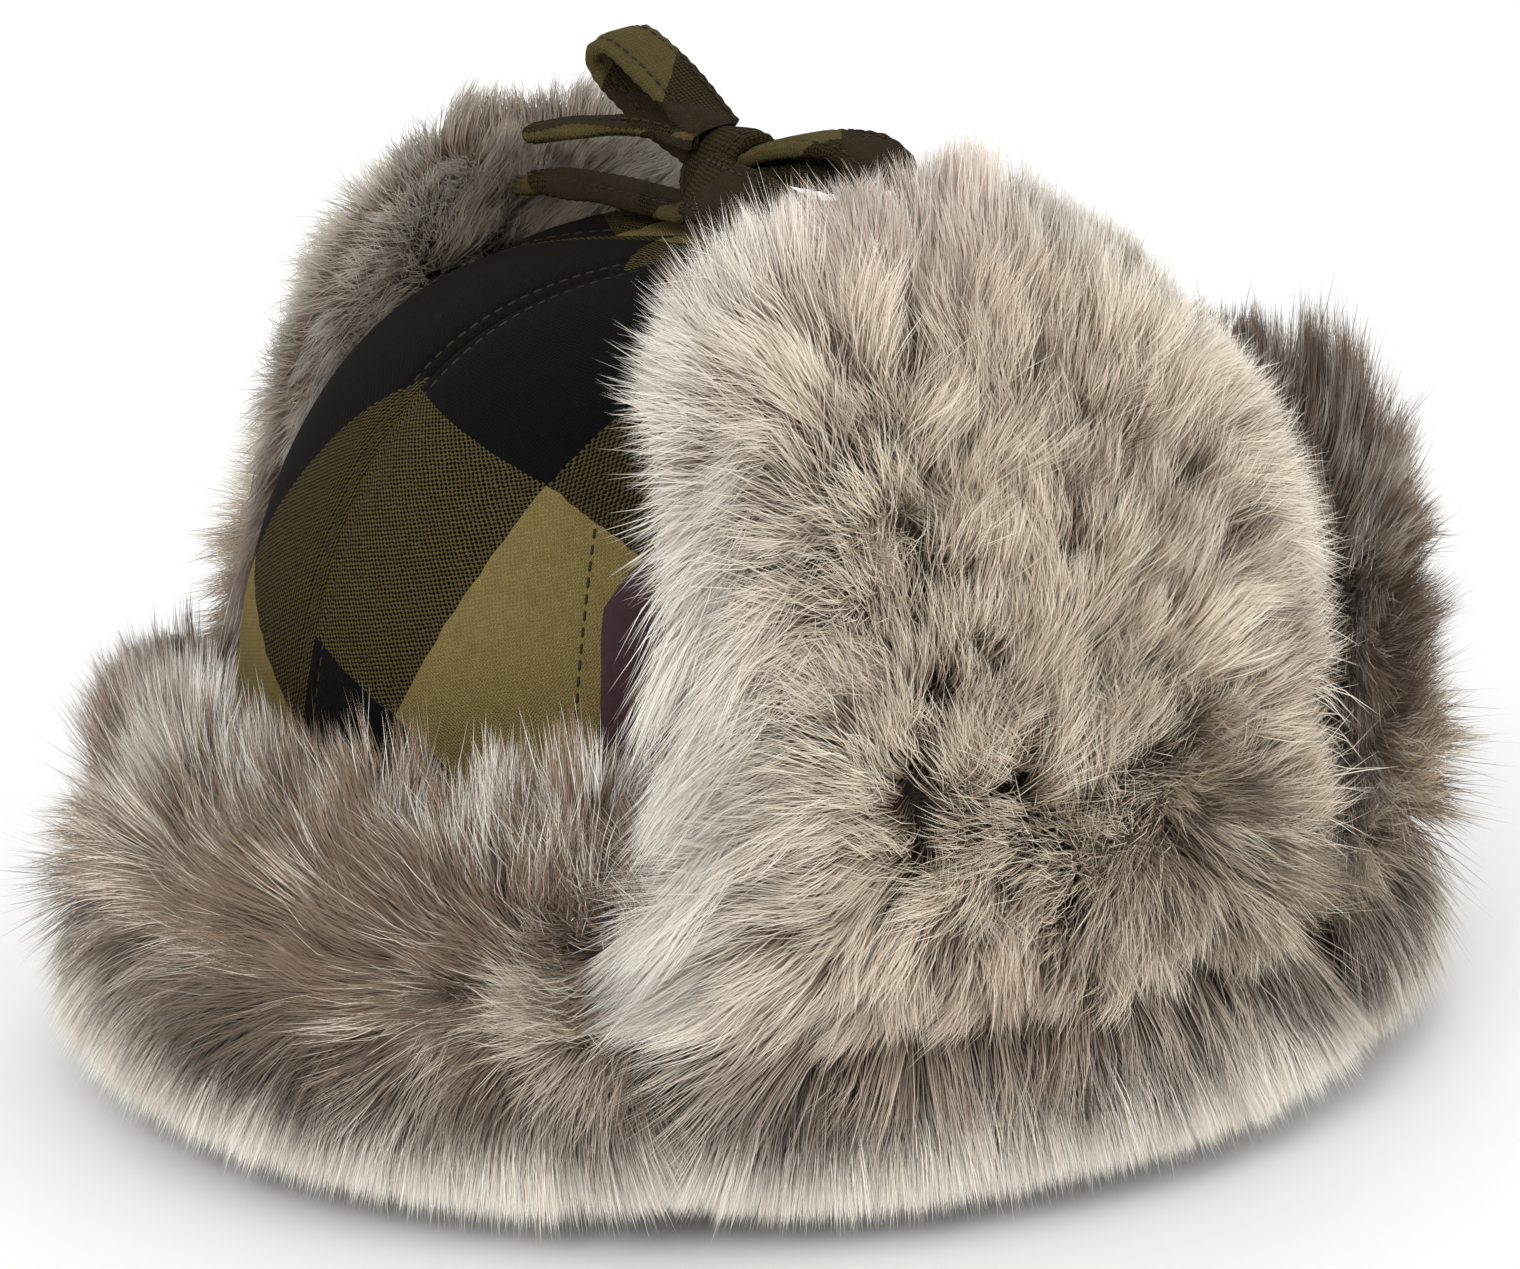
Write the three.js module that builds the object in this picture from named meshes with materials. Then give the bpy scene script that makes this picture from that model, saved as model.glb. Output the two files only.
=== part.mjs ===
// Trapper hat: a six-panel cloth crown with wadding, a quilted lining and a sweatband on a bound rim,
// and four fur-faced flaps hinged at the rim: a visor at the brow, an ear flap at each side and a neck
// flap behind. The flaps are folded up against the crown, and the ear flaps' ties meet in a bow on top.
// Millimetres. +Z is up, the brow faces -Y, the wearer's left ear is at +X, and the rim stands on Z = 0.
import * as THREE from "three";

// ---- Crown ----
const CROWN_HALF_WIDTH = 96; // outside of the cloth at the rim, ear to ear
const CROWN_HALF_LENGTH = 112; // outside of the cloth at the rim, brow to nape
const CROWN_TOP = 162;
const CROWN_POWER = 3.4; // squarer in section than an ellipse, as padded cloth is
const CROWN_PANELS = ["front_left", "left", "back_left", "back_right", "right", "front_right"];
const PANEL_TOP = 0.995; // the panels' points stop just short of the crown's middle
const RIM = 4; // height of the bound edge

// ---- Layers, measured inwards from the outside of the crown's cloth ----
const GAP = 0.3;
const CLOTH = 1.5;
const CROWN_WADDING = 4;
const LINING = 1.2;
const SWEATBAND = 1.6;
const SWEATBAND_HEIGHT = 32;
const SWEATBAND_GAP = 1.2;
const WADDING_DEPTH = CLOTH + GAP;
const LINING_DEPTH = WADDING_DEPTH + CROWN_WADDING + GAP;
const SWEATBAND_DEPTH = LINING_DEPTH + LINING + SWEATBAND_GAP;
const RIM_DEPTH = SWEATBAND_DEPTH + SWEATBAND;

// ---- Flaps: layers outwards from the face that lies towards the crown ----
const FLAP_STAND_OFF = 4; // room between the crown's cloth and a folded flap
const FLAP_WADDING = 3.5;
const FLAP_FOOT = 2; // height of a folded flap's lower edge
const PILE = 28; // depth of the fur
const PILE_AT_EDGES = 0.75; // share of that depth along a flap's upper edges
const PILE_AT_FOOT = 0.62; // and along its foot, where the fur rounds under
const FOOT_ROUNDING = 30;
const FLAP_WADDING_DEPTH = CLOTH + GAP;
const FUR_DEPTH = FLAP_WADDING_DEPTH + FLAP_WADDING + GAP;
const FLAP_HALF_WIDTH = CROWN_HALF_WIDTH + FLAP_STAND_OFF;
const FLAP_HALF_LENGTH = CROWN_HALF_LENGTH + FLAP_STAND_OFF;

// ---- Ear flaps ----
const EAR_SHOULDER = 0.35; // where the backing's highest point lies, from the front edge to the rear
const EAR_CORNER_POWER = 3.6; // how square the corners are
// front and rear are each edge's Y, at the foot and at the top.
const EAR_LEFT = { side: 1, top: 170, frontDrop: 20, rearDrop: 34, front: [-71, -62], rear: [48, 46] };
const EAR_RIGHT = { side: -1, top: 165, frontDrop: 42, rearDrop: 34, front: [-71, -46], rear: [48, 46] };
const EAR_ARCH_TOP = 198; // the leaning section would close on itself at this height
const EAR_ARCH_POWER = 2.6;
const EAR_FLATTENING = 0.6; // share of the rim's curve that the flap has lost at its top

// ---- Visor and neck flap ----
// rise is how far the right and the left upper corner stand above the middle of the upper edge.
const VISOR = { side: -1, top: 64, rise: [4, 14], spread: 49.5, flattening: 0.25, lean: 0.04, taper: 0 };
const NECK = { side: 1, top: 116, rise: [-14, -14], spread: 61, flattening: 0.5, lean: 0.1, taper: 0.05 };

// ---- Ties and bow ----
const TIE_WIDTH = 14;
const TIE_THICKNESS = 2.6;
const TIE_HEIGHT = 166;
const KNOT_CENTRE = new THREE.Vector3(-1, -6, 175);
const KNOT_SIZE = new THREE.Vector3(17, 17, 21);

const PANEL_COLUMNS = 6;
const ROUND_COLUMNS = PANEL_COLUMNS * CROWN_PANELS.length;
const CROWN_ROWS = 9;
const DEGREE = Math.PI / 180;
const hat = new THREE.Group();

const cloth = { color: 0x3a3424, roughness: 0.95, metalness: 0 };
const fur = { color: 0xa99e8e, roughness: 0.9, metalness: 0 };
const padding = { color: 0xe6e2da, roughness: 1, metalness: 0 };
const satin = { color: 0x2b2a30, roughness: 0.5, metalness: 0 };
const binding = { color: 0x43362f, roughness: 0.8, metalness: 0 };

function add(name, geometry, finish) {
  const mesh = new THREE.Mesh(geometry, new THREE.MeshStandardMaterial(finish));
  mesh.name = name;
  hat.add(mesh);
  return mesh;
}

const mix = (a, b, share) => a + (b - a) * share;

// A closed solid between two surfaces of (u, v), each running 0 to 1. A "panel" has an edge all round,
// a "band" meets itself at u = 0 and 1, and a "dome" is a band whose last row is one point.
function solidBetween(outer, inner, columns, rows, form = "panel") {
  const triangles = [];
  const addTriangle = (a, b, c) => {
    const area = b.clone().sub(a).cross(c.clone().sub(a)).length();
    if (area > 1e-6) triangles.push(a, b, c);
  };
  const addQuad = (a, b, c, d) => {
    addTriangle(a, b, c);
    addTriangle(a, c, d);
  };
  for (let j = 0; j < rows; j++) {
    const [low, high] = [j / rows, (j + 1) / rows];
    for (let i = 0; i < columns; i++) {
      const [left, right] = [i / columns, (i + 1) / columns];
      addQuad(outer(left, low), outer(right, low), outer(right, high), outer(left, high));
      addQuad(inner(left, low), inner(left, high), inner(right, high), inner(right, low));
    }
    if (form === "panel") {
      addQuad(inner(0, low), outer(0, low), outer(0, high), inner(0, high));
      addQuad(outer(1, low), inner(1, low), inner(1, high), outer(1, high));
    }
  }
  for (let i = 0; i < columns; i++) {
    const [left, right] = [i / columns, (i + 1) / columns];
    addQuad(inner(left, 0), inner(right, 0), outer(right, 0), outer(left, 0));
    if (form !== "dome") addQuad(outer(left, 1), outer(right, 1), inner(right, 1), inner(left, 1));
  }
  let volume = 0;
  for (let t = 0; t < triangles.length; t += 3)
    volume += triangles[t].dot(triangles[t + 1].clone().cross(triangles[t + 2]));
  if (volume < 0) triangles.reverse();
  const geometry = new THREE.BufferGeometry().setFromPoints(triangles);
  geometry.computeVertexNormals();
  return geometry;
}

// ---- Crown ----

// A point of the crown: turn goes round from the brow by the left ear, rise from the rim (0) to the top (1).
function crownPoint(turn, rise, depth) {
  const slope = (rise * Math.PI) / 2;
  const reach = Math.max(Math.cos(slope), 0) ** (2 / CROWN_POWER);
  const lift = Math.sin(slope) ** (2 / CROWN_POWER);
  return new THREE.Vector3(
    (CROWN_HALF_WIDTH - depth) * reach * Math.sin(turn),
    -(CROWN_HALF_LENGTH - depth) * reach * Math.cos(turn),
    RIM + (CROWN_TOP - RIM - depth) * lift,
  );
}

function addCrownPanel(name, index) {
  const spread = (2 * Math.PI) / CROWN_PANELS.length;
  const middle = (index + 0.5) * spread;
  const surface = (depth) => (u, v) => crownPoint((index + u) * spread, v * PANEL_TOP, depth);
  const shell = solidBetween(surface(0), surface(CLOTH), PANEL_COLUMNS, CROWN_ROWS);
  const panel = add(`crown_panel_${name}`, shell, cloth);
  panel.position.set(Math.sin(middle) * GAP, -Math.cos(middle) * GAP, 0);
}

function addDome(name, depth, thickness, finish) {
  const surface = (at) => (u, v) => crownPoint(u * 2 * Math.PI, v, at);
  const layers = [surface(depth), surface(depth + thickness)];
  add(name, solidBetween(...layers, ROUND_COLUMNS, CROWN_ROWS, "dome"), finish);
}

// A point of a band that follows the crown's wall at the height z.
function wallPoint(turn, z, depth) {
  const lift = Math.max(z - RIM, 0) / (CROWN_TOP - RIM - depth);
  const reach = (1 - lift ** CROWN_POWER) ** (1 / CROWN_POWER);
  return new THREE.Vector3(
    (CROWN_HALF_WIDTH - depth) * reach * Math.sin(turn),
    -(CROWN_HALF_LENGTH - depth) * reach * Math.cos(turn),
    z,
  );
}

function addBand(name, bottom, top, depth, thickness, finish) {
  const surface = (at) => (u, v) => wallPoint(u * 2 * Math.PI, mix(bottom, top, v), at);
  add(name, solidBetween(surface(depth), surface(depth + thickness), ROUND_COLUMNS, 2, "band"), finish);
}

CROWN_PANELS.forEach(addCrownPanel);
addDome("crown_wadding", WADDING_DEPTH, CROWN_WADDING, padding);
addDome("quilted_lining", LINING_DEPTH, LINING, satin);
addBand("sweatband", RIM, RIM + SWEATBAND_HEIGHT, SWEATBAND_DEPTH, SWEATBAND, binding);
addBand("rim_binding", 0, RIM - GAP, 0, RIM_DEPTH, binding);

// ---- Flaps ----

// Offsets a flap's face along its own normal, which points away from the crown.
function offsetFrom(face, u, v, depth) {
  const step = 0.01;
  const across = face(Math.min(u + step, 1), v).sub(face(Math.max(u - step, 0), v));
  const along = face(u, Math.min(v + step, 1)).sub(face(u, Math.max(v - step, 0)));
  const normal = across.cross(along).normalize();
  const point = face(u, v);
  if (normal.x * point.x + normal.y * point.y < 0) normal.negate();
  if (v === 0) normal.setZ(0).normalize();
  return point.addScaledVector(normal, depth);
}

// The face of an ear flap that lies towards the crown: u from the front edge to the rear, v upwards.
function earFace(flap) {
  return (u, v) => {
    const forward = Math.max((EAR_SHOULDER - u) / EAR_SHOULDER, 0) ** EAR_CORNER_POWER;
    const backward = Math.max((u - EAR_SHOULDER) / (1 - EAR_SHOULDER), 0) ** EAR_CORNER_POWER;
    const z = mix(FLAP_FOOT, flap.top - flap.frontDrop * forward - flap.rearDrop * backward, v);
    const height = z / flap.top;
    const y = mix(mix(...flap.front, height), mix(...flap.rear, height), u);
    const curve = 1 - Math.sqrt(1 - (y / FLAP_HALF_LENGTH) ** 2);
    const arch = (1 - (z / EAR_ARCH_TOP) ** EAR_ARCH_POWER) ** (1 / EAR_ARCH_POWER);
    const x = FLAP_HALF_WIDTH * (1 - curve * (1 - EAR_FLATTENING * height)) * arch;
    return new THREE.Vector3(flap.side * x, y, z);
  };
}

// The same face of the visor or the neck flap: u from one end to the other, v upwards.
function endFace(flap) {
  return (u, v) => {
    const turn = (2 * u - 1) * flap.spread * DEGREE;
    const top = flap.top + flap.rise[u < 0.5 ? 0 : 1] * (2 * u - 1) ** 2;
    const curve = (1 - Math.cos(turn)) * (1 - flap.flattening * v);
    return new THREE.Vector3(
      FLAP_HALF_WIDTH * Math.sin(turn) * (1 - flap.taper * v),
      flap.side * FLAP_HALF_LENGTH * (1 - curve) * (1 - flap.lean * v * v),
      mix(FLAP_FOOT, top, v),
    );
  };
}

function pileDepth(u, v, z) {
  const edge = Math.max(Math.abs(2 * u - 1), v) ** 6;
  const foot = Math.max(1 - z / FOOT_ROUNDING, 0) ** 2;
  return PILE * mix(1, PILE_AT_EDGES, edge) * mix(1, PILE_AT_FOOT, foot);
}

// A flap's shell cloth, wadding and fur, named after the flap.
function addFlap(names, face, columns, rows) {
  const at = (depth) => (u, v) => offsetFrom(face, u, v, depth);
  const pile = (u, v) => offsetFrom(face, u, v, FUR_DEPTH + pileDepth(u, v, face(u, v).z));
  add(names.shell, solidBetween(at(CLOTH), at(0), columns, rows), cloth);
  const wadding = [at(FLAP_WADDING_DEPTH + FLAP_WADDING), at(FLAP_WADDING_DEPTH)];
  add(names.wadding, solidBetween(...wadding, columns, rows), padding);
  add(names.fur, solidBetween(pile, at(FUR_DEPTH), columns, rows), fur);
}

function flapNames(flap, end = "") {
  return { shell: `${flap}_shell${end}`, wadding: `${flap}_wadding${end}`, fur: `${flap}_fur${end}` };
}

const visorNames = { ...flapNames("visor"), wadding: "visor_stiffener" };
addFlap(visorNames, endFace(VISOR), 12, 5);
addFlap(flapNames("neck_flap"), endFace(NECK), 14, 6);
addFlap(flapNames("ear_flap", "_left"), earFace(EAR_LEFT), 10, 10);
addFlap(flapNames("ear_flap", "_right"), earFace(EAR_RIGHT), 10, 10);

// ---- Ties and bow ----

// A flat sewn strap along a smooth curve through the points, its width kept square to the run.
function strap(points, widthWay, steps) {
  const run = new THREE.CatmullRomCurve3(points.map((p) => new THREE.Vector3(...p)));
  const way = new THREE.Vector3(...widthWay).normalize();
  const surface = (face) => (u, v) => {
    const tangent = run.getTangent(v);
    const across = way.clone().addScaledVector(tangent, -way.dot(tangent)).normalize();
    const normal = across.clone().cross(tangent);
    return run
      .getPoint(v)
      .addScaledVector(across, (u - 0.5) * TIE_WIDTH)
      .addScaledVector(normal, (face * TIE_THICKNESS) / 2);
  };
  return solidBetween(surface(1), surface(-1), 2, steps);
}

const TIE_LEFT = [[63, -13, 164.5], [48, -12, TIE_HEIGHT], [28, -9, TIE_HEIGHT], [9, -7, TIE_HEIGHT]];
const TIE_RIGHT = [[-62, -13, 163.5], [-48, -12, TIE_HEIGHT], [-28, -8, TIE_HEIGHT], [-11, -6, TIE_HEIGHT]];
const LOOP_LEFT = [
  [8.5, -4, 181], [20, -2, 186], [31, 1, 186], [38, 3, 181], [32, 3, 177], [20, 0, 175.5], [9.5, -3, 174],
];
const LOOP_RIGHT = [
  [-6, -8, 187], [-14, -10, 192], [-23, -12, 197], [-29, -13, 199], [-33, -12, 196],
  [-30, -9, 191], [-21, -6, 186], [-11, -4, 181],
];
const TAIL_LEFT = [[5, -18, 176.5], [14, -19.5, 176.5], [24, -18.5, 175.5], [34, -16.5, 173]];
const TAIL_RIGHT = [[-9.5, -14, 178], [-20, -18, 181], [-32, -22, 183], [-44, -26, 183.5]];

add("tie_left", strap(TIE_LEFT, [0, 1, 0], 8), cloth);
add("tie_right", strap(TIE_RIGHT, [0, 1, 0], 8), cloth);
const knot = add("bow_knot", new THREE.SphereGeometry(0.5, 16, 12), cloth);
knot.scale.copy(KNOT_SIZE);
knot.position.copy(KNOT_CENTRE);
add("bow_loop_left", strap(LOOP_LEFT, [0.1, 1, 0.1], 18), cloth);
add("bow_loop_right", strap(LOOP_RIGHT, [-0.2, 1, 0.1], 20), cloth);
add("bow_tail_left", strap(TAIL_LEFT, [0.3, 0.5, 0.8], 8), cloth);
add("bow_tail_right", strap(TAIL_RIGHT, [0.4, -0.9, 0.1], 8), cloth);

export default hat;
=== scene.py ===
# A trapper hat around its CAD frame: checked cloth crown, lining, four fur flaps and a tied bow.
# Metres; +Z up, the brow faces -Y, the wearer's left is +X.
import math

import bpy
import numpy as np
from mathutils import Matrix, Vector


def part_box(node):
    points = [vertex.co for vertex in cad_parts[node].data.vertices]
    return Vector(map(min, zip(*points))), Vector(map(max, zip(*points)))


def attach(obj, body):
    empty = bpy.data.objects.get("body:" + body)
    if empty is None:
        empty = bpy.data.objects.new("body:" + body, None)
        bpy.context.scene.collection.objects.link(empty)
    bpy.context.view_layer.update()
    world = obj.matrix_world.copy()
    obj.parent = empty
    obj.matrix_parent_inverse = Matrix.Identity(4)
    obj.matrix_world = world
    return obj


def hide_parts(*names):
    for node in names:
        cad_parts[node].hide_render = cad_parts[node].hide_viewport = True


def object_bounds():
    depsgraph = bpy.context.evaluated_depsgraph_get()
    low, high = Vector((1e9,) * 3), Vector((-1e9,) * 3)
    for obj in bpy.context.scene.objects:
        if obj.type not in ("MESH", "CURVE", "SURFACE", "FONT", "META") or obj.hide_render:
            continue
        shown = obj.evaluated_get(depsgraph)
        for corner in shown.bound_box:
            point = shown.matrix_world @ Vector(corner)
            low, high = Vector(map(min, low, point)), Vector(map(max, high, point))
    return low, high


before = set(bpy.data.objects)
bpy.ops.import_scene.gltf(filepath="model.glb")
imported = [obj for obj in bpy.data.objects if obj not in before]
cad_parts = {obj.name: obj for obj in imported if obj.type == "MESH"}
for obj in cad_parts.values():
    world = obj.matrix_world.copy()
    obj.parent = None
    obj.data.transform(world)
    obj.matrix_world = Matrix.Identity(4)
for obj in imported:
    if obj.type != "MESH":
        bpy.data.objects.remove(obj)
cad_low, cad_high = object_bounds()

MM = 0.001
DEGREE = math.pi / 180

# ---- Driving sizes, from the frame ----
rim_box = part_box("rim_binding")
RIM = rim_box[1].z
HALF_WIDTH = rim_box[1].x
HALF_LENGTH = rim_box[1].y
CROWN_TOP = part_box("crown_panel_left")[1].z
NECK_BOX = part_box("neck_flap_shell")
EAR_BOXES = {1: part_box("ear_flap_shell_left"), -1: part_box("ear_flap_shell_right")}

# ---- Camera ----
CAMERA_TURN = 55 * DEGREE
CAMERA_RISE = 17 * DEGREE
CAMERA_DISTANCE = 1.1
CAMERA_LENS = 128
CAMERA_REACH = 20
AIM = Vector((0, 0, 0.095))
AIM_DROP = 15.2 * MM  # the aim lies this far above the picture's middle


def add_camera():
    camera = bpy.data.objects.new("camera", bpy.data.cameras.new("camera"))
    bpy.context.scene.collection.objects.link(camera)
    back = Vector(
        (
            math.sin(CAMERA_TURN) * math.cos(CAMERA_RISE),
            -math.cos(CAMERA_TURN) * math.cos(CAMERA_RISE),
            math.sin(CAMERA_RISE),
        )
    )
    right = Vector((math.cos(CAMERA_TURN), math.sin(CAMERA_TURN), 0))
    up = back.cross(right)
    target = AIM - up * AIM_DROP
    place = AIM + back * CAMERA_DISTANCE
    facing = (place - target).normalized()
    up = facing.cross(right)
    camera.matrix_world = Matrix.Translation(place) @ Matrix((right, up, facing)).transposed().to_4x4()
    camera.data.lens = CAMERA_LENS
    camera.data.clip_end = CAMERA_REACH
    bpy.context.scene.camera = camera


add_camera()

# ---- Shared tools ----

def mix(a, b, share):
    return a + (b - a) * share


def smooth(low, high, value):
    t = np.clip((value - low) / (high - low), 0, 1)
    return t * t * (3 - 2 * t)


def hump(value, middle, width):
    """A bell curve: 1 at the middle, falling to nothing on both sides."""
    return np.exp(-(((value - middle) / width) ** 2))


def unit(ways):
    return ways / np.maximum(np.linalg.norm(ways, axis=-1, keepdims=True), 1e-12)


def vectors(x, y, z):
    return np.stack([x, y, z], -1)


def distances(line):
    """How far along a line each of its points lies."""
    return np.concatenate([[0], np.cumsum(np.linalg.norm(np.diff(line, axis=0), axis=1))])


class Waves:
    """Smooth seeded noise: a sum of plane waves, about -1 to 1."""

    def __init__(self, seed, scale, count=14):
        draw = np.random.default_rng(seed)
        self.ways = unit(draw.normal(size=(count, 3))) * (2 * math.pi / scale)
        self.ways *= draw.uniform(0.55, 1.6, (count, 1))
        self.phases = draw.uniform(0, 2 * math.pi, count)

    def __call__(self, points):
        return np.sin(points @ self.ways.T + self.phases).sum(-1) / math.sqrt(len(self.phases))


def add_mesh(name, points, faces, uv=None):
    """A mesh object from (n, 3) points and (m, 3 or 4) faces; uv holds one pair for each face corner."""
    mesh = bpy.data.meshes.new(name)
    faces = np.asarray(faces, np.int32)
    mesh.vertices.add(len(points))
    mesh.vertices.foreach_set("co", np.asarray(points, np.float32).ravel())
    mesh.loops.add(faces.size)
    mesh.loops.foreach_set("vertex_index", faces.ravel())
    mesh.polygons.add(len(faces))
    mesh.polygons.foreach_set("loop_start", np.arange(0, faces.size, faces.shape[1], dtype=np.int32))
    mesh.polygons.foreach_set("use_smooth", np.full(len(faces), True))
    if uv is not None:
        layer = mesh.uv_layers.new(name="cloth")
        layer.data.foreach_set("uv", np.asarray(uv, np.float32).ravel())
    mesh.update(calc_edges=True)
    piece = bpy.data.objects.new(name, mesh)
    bpy.context.scene.collection.objects.link(piece)
    return piece


def grid_faces(columns, rows, start=0, flip=False):
    i, j = np.meshgrid(np.arange(columns), np.arange(rows))
    a = (start + j * (columns + 1) + i).ravel()
    faces = np.stack([a, a + 1, a + columns + 2, a + columns + 1], 1)
    return faces[:, ::-1] if flip else faces


def tube_faces(steps, rows, sides):
    """Quads along a tube of rows of points; with as many steps as rows, the last closes on the first row."""
    j, k = np.meshgrid(np.arange(steps), np.arange(sides), indexing="ij")
    after_j, after_k = (j + 1) % rows, (k + 1) % sides
    faces = [j * sides + k, after_j * sides + k, after_j * sides + after_k, j * sides + after_k]
    return np.stack(faces, -1).reshape(-1, 4)


def closed_panel(name, outer, inner, columns, rows, cloth_uv=None):
    """A closed sheet between two surfaces given as functions of arrays u and v."""
    u, v = np.meshgrid(np.linspace(0, 1, columns + 1), np.linspace(0, 1, rows + 1))
    u, v = u.ravel(), v.ravel()
    points = np.concatenate([outer(u, v), inner(u, v)])
    count = len(u)
    front = grid_faces(columns, rows)
    a, b, c = (points[front[:, k]] for k in (0, 1, 2))
    outward = np.einsum("ij,ij->i", np.cross(b - a, c - a), points[front[:, 0]] - points[front[:, 0] + count])
    flip = outward.sum() < 0
    faces = [grid_faces(columns, rows, 0, flip), grid_faces(columns, rows, count, not flip)]
    ring = np.concatenate(
        [
            np.arange(columns),
            np.arange(rows) * (columns + 1) + columns,
            rows * (columns + 1) + np.arange(columns, 0, -1),
            np.arange(rows, 0, -1) * (columns + 1),
        ]
    )
    following = np.roll(ring, -1)
    wall = np.stack([following, ring, ring + count, following + count], 1)
    faces.append(wall[:, ::-1] if flip else wall)
    faces = np.concatenate(faces)
    uv = None
    if cloth_uv is not None:
        flat = cloth_uv(u, v)
        uv = np.concatenate([flat, flat])[faces.ravel()]
    return add_mesh(name, points, faces, uv)


# ---- Surfaces, as in the CAD model ----
CROWN_POWER = 3.4
PANELS = ("front_left", "left", "back_left", "back_right", "right", "front_right")
PANEL_SPREAD = 2 * math.pi / len(PANELS)
STAND_OFF = 4 * MM
FLAP_WIDTH = HALF_WIDTH + STAND_OFF
FLAP_LENGTH = HALF_LENGTH + STAND_OFF
FOOT = 2 * MM
CLOTH = 1.5 * MM
BACKING = 5.6 * MM  # from a flap's inner face to the back of its fur


def crown_surface(turn, rise, depth=0.0):
    slope = rise * math.pi / 2
    reach = np.maximum(np.cos(slope), 0) ** (2 / CROWN_POWER)
    lift = np.sin(slope) ** (2 / CROWN_POWER)
    return vectors(
        (HALF_WIDTH - depth) * reach * np.sin(turn),
        -(HALF_LENGTH - depth) * reach * np.cos(turn),
        RIM + (CROWN_TOP - RIM - depth) * lift,
    )


EAR_SHOULDER = 0.35
EAR_CORNER_POWER = 3.6
EAR_ARCH_TOP = 198 * MM
EAR_ARCH_POWER = 2.6
EAR_FLATTENING = 0.6


class EarFlap:
    """The inner face of a side flap: u runs from its front edge to its rear, v from its foot to its top."""

    def __init__(self, side, front_drop, rear_drop, front, rear):
        self.side = side
        self.top = EAR_BOXES[side][1].z
        self.drops = (front_drop, rear_drop)
        self.front = front
        self.rear = rear
        self.width = rear[0] - front[0]
        self.height = self.top

    def __call__(self, u, v):
        forward = np.maximum((EAR_SHOULDER - u) / EAR_SHOULDER, 0) ** EAR_CORNER_POWER
        backward = np.maximum((u - EAR_SHOULDER) / (1 - EAR_SHOULDER), 0) ** EAR_CORNER_POWER
        z = mix(FOOT, self.top - self.drops[0] * forward - self.drops[1] * backward, v)
        height = z / self.top
        y = mix(mix(*self.front, height), mix(*self.rear, height), u)
        curve = 1 - np.sqrt(1 - (y / FLAP_LENGTH) ** 2)
        arch = (1 - (z / EAR_ARCH_TOP) ** EAR_ARCH_POWER) ** (1 / EAR_ARCH_POWER)
        x = FLAP_WIDTH * (1 - curve * (1 - EAR_FLATTENING * height)) * arch
        return vectors(self.side * x, y, z)


class EndFlap:
    """The inner face of the visor or neck flap, bent round the crown's end."""

    def __init__(self, side, top, rise, spread, flattening, lean, taper):
        self.side = side
        self.top = top
        self.rise = rise
        self.spread = spread * DEGREE
        self.flattening = flattening
        self.lean = lean
        self.taper = taper
        self.width = 2 * self.spread * (FLAP_WIDTH + FLAP_LENGTH) / 2
        self.height = top

    def __call__(self, u, v):
        turn = (2 * u - 1) * self.spread
        top = self.top + np.where(u < 0.5, self.rise[0], self.rise[1]) * (2 * u - 1) ** 2
        curve = (1 - np.cos(turn)) * (1 - self.flattening * v)
        return vectors(
            FLAP_WIDTH * np.sin(turn) * (1 - self.taper * v),
            self.side * FLAP_LENGTH * (1 - curve) * (1 - self.lean * v * v),
            mix(FOOT, top, v),
        )


VISOR_TOP = 64 * MM
NECK_TOP = NECK_BOX[1].z
FLAPS = {
    "visor": EndFlap(-1, VISOR_TOP, (4 * MM, 14 * MM), 49.5, 0.25, 0.04, 0),
    "neck_flap": EndFlap(1, NECK_TOP, (-14 * MM, -14 * MM), 61, 0.5, 0.1, 0.05),
    "ear_flap_left": EarFlap(1, 20 * MM, 34 * MM, (-71 * MM, -62 * MM), (48 * MM, 46 * MM)),
    "ear_flap_right": EarFlap(-1, 42 * MM, 34 * MM, (-71 * MM, -46 * MM), (48 * MM, 46 * MM)),
}


def flap_frame(face, u, v):
    """Points of a flap's inner face, with its outward normal and its ways across (+u) and up (+v)."""
    step = 0.004
    low_u, high_u = np.clip(u - step, 0, 1), np.clip(u + step, 0, 1)
    low_v, high_v = np.clip(v - step, 0, 1), np.clip(v + step, 0, 1)
    across = unit(face(high_u, v) - face(low_u, v))
    up = unit(face(u, high_v) - face(u, low_v))
    normal = unit(np.cross(across, up))
    point = face(u, v)
    inward = (normal[:, :2] * point[:, :2]).sum(-1) < 0
    normal[inward] *= -1
    return point, normal, across, up


def flap_offset(face, depth):
    def surface(u, v):
        point, normal, _, _ = flap_frame(face, u, v)
        shift = depth(u, v, point) if callable(depth) else depth
        return point + normal * np.reshape(shift, (-1, 1))

    return surface


# ---- Materials ----
def new_material(name):
    material = bpy.data.materials.new(name)
    material.use_nodes = True
    tree = material.node_tree
    shader = tree.nodes["Principled BSDF"]
    return material, tree, shader


def link(tree, value, socket):
    if hasattr(value, "is_output"):
        tree.links.new(value, socket)
    else:
        socket.default_value = value


def math_node(tree, operation, a, b=0.0):
    made = tree.nodes.new("ShaderNodeMath")
    made.operation = operation
    for value, socket in zip((a, b), made.inputs):
        link(tree, value, socket)
    return made.outputs[0]


def mix_colour(tree, share, a, b):
    made = tree.nodes.new("ShaderNodeMix")
    made.data_type = "RGBA"
    link(tree, share, made.inputs["Factor"])
    for value, key in ((a, 6), (b, 7)):
        link(tree, (*value, 1) if isinstance(value, tuple) else value, made.inputs[key])
    return made.outputs[2]


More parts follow.
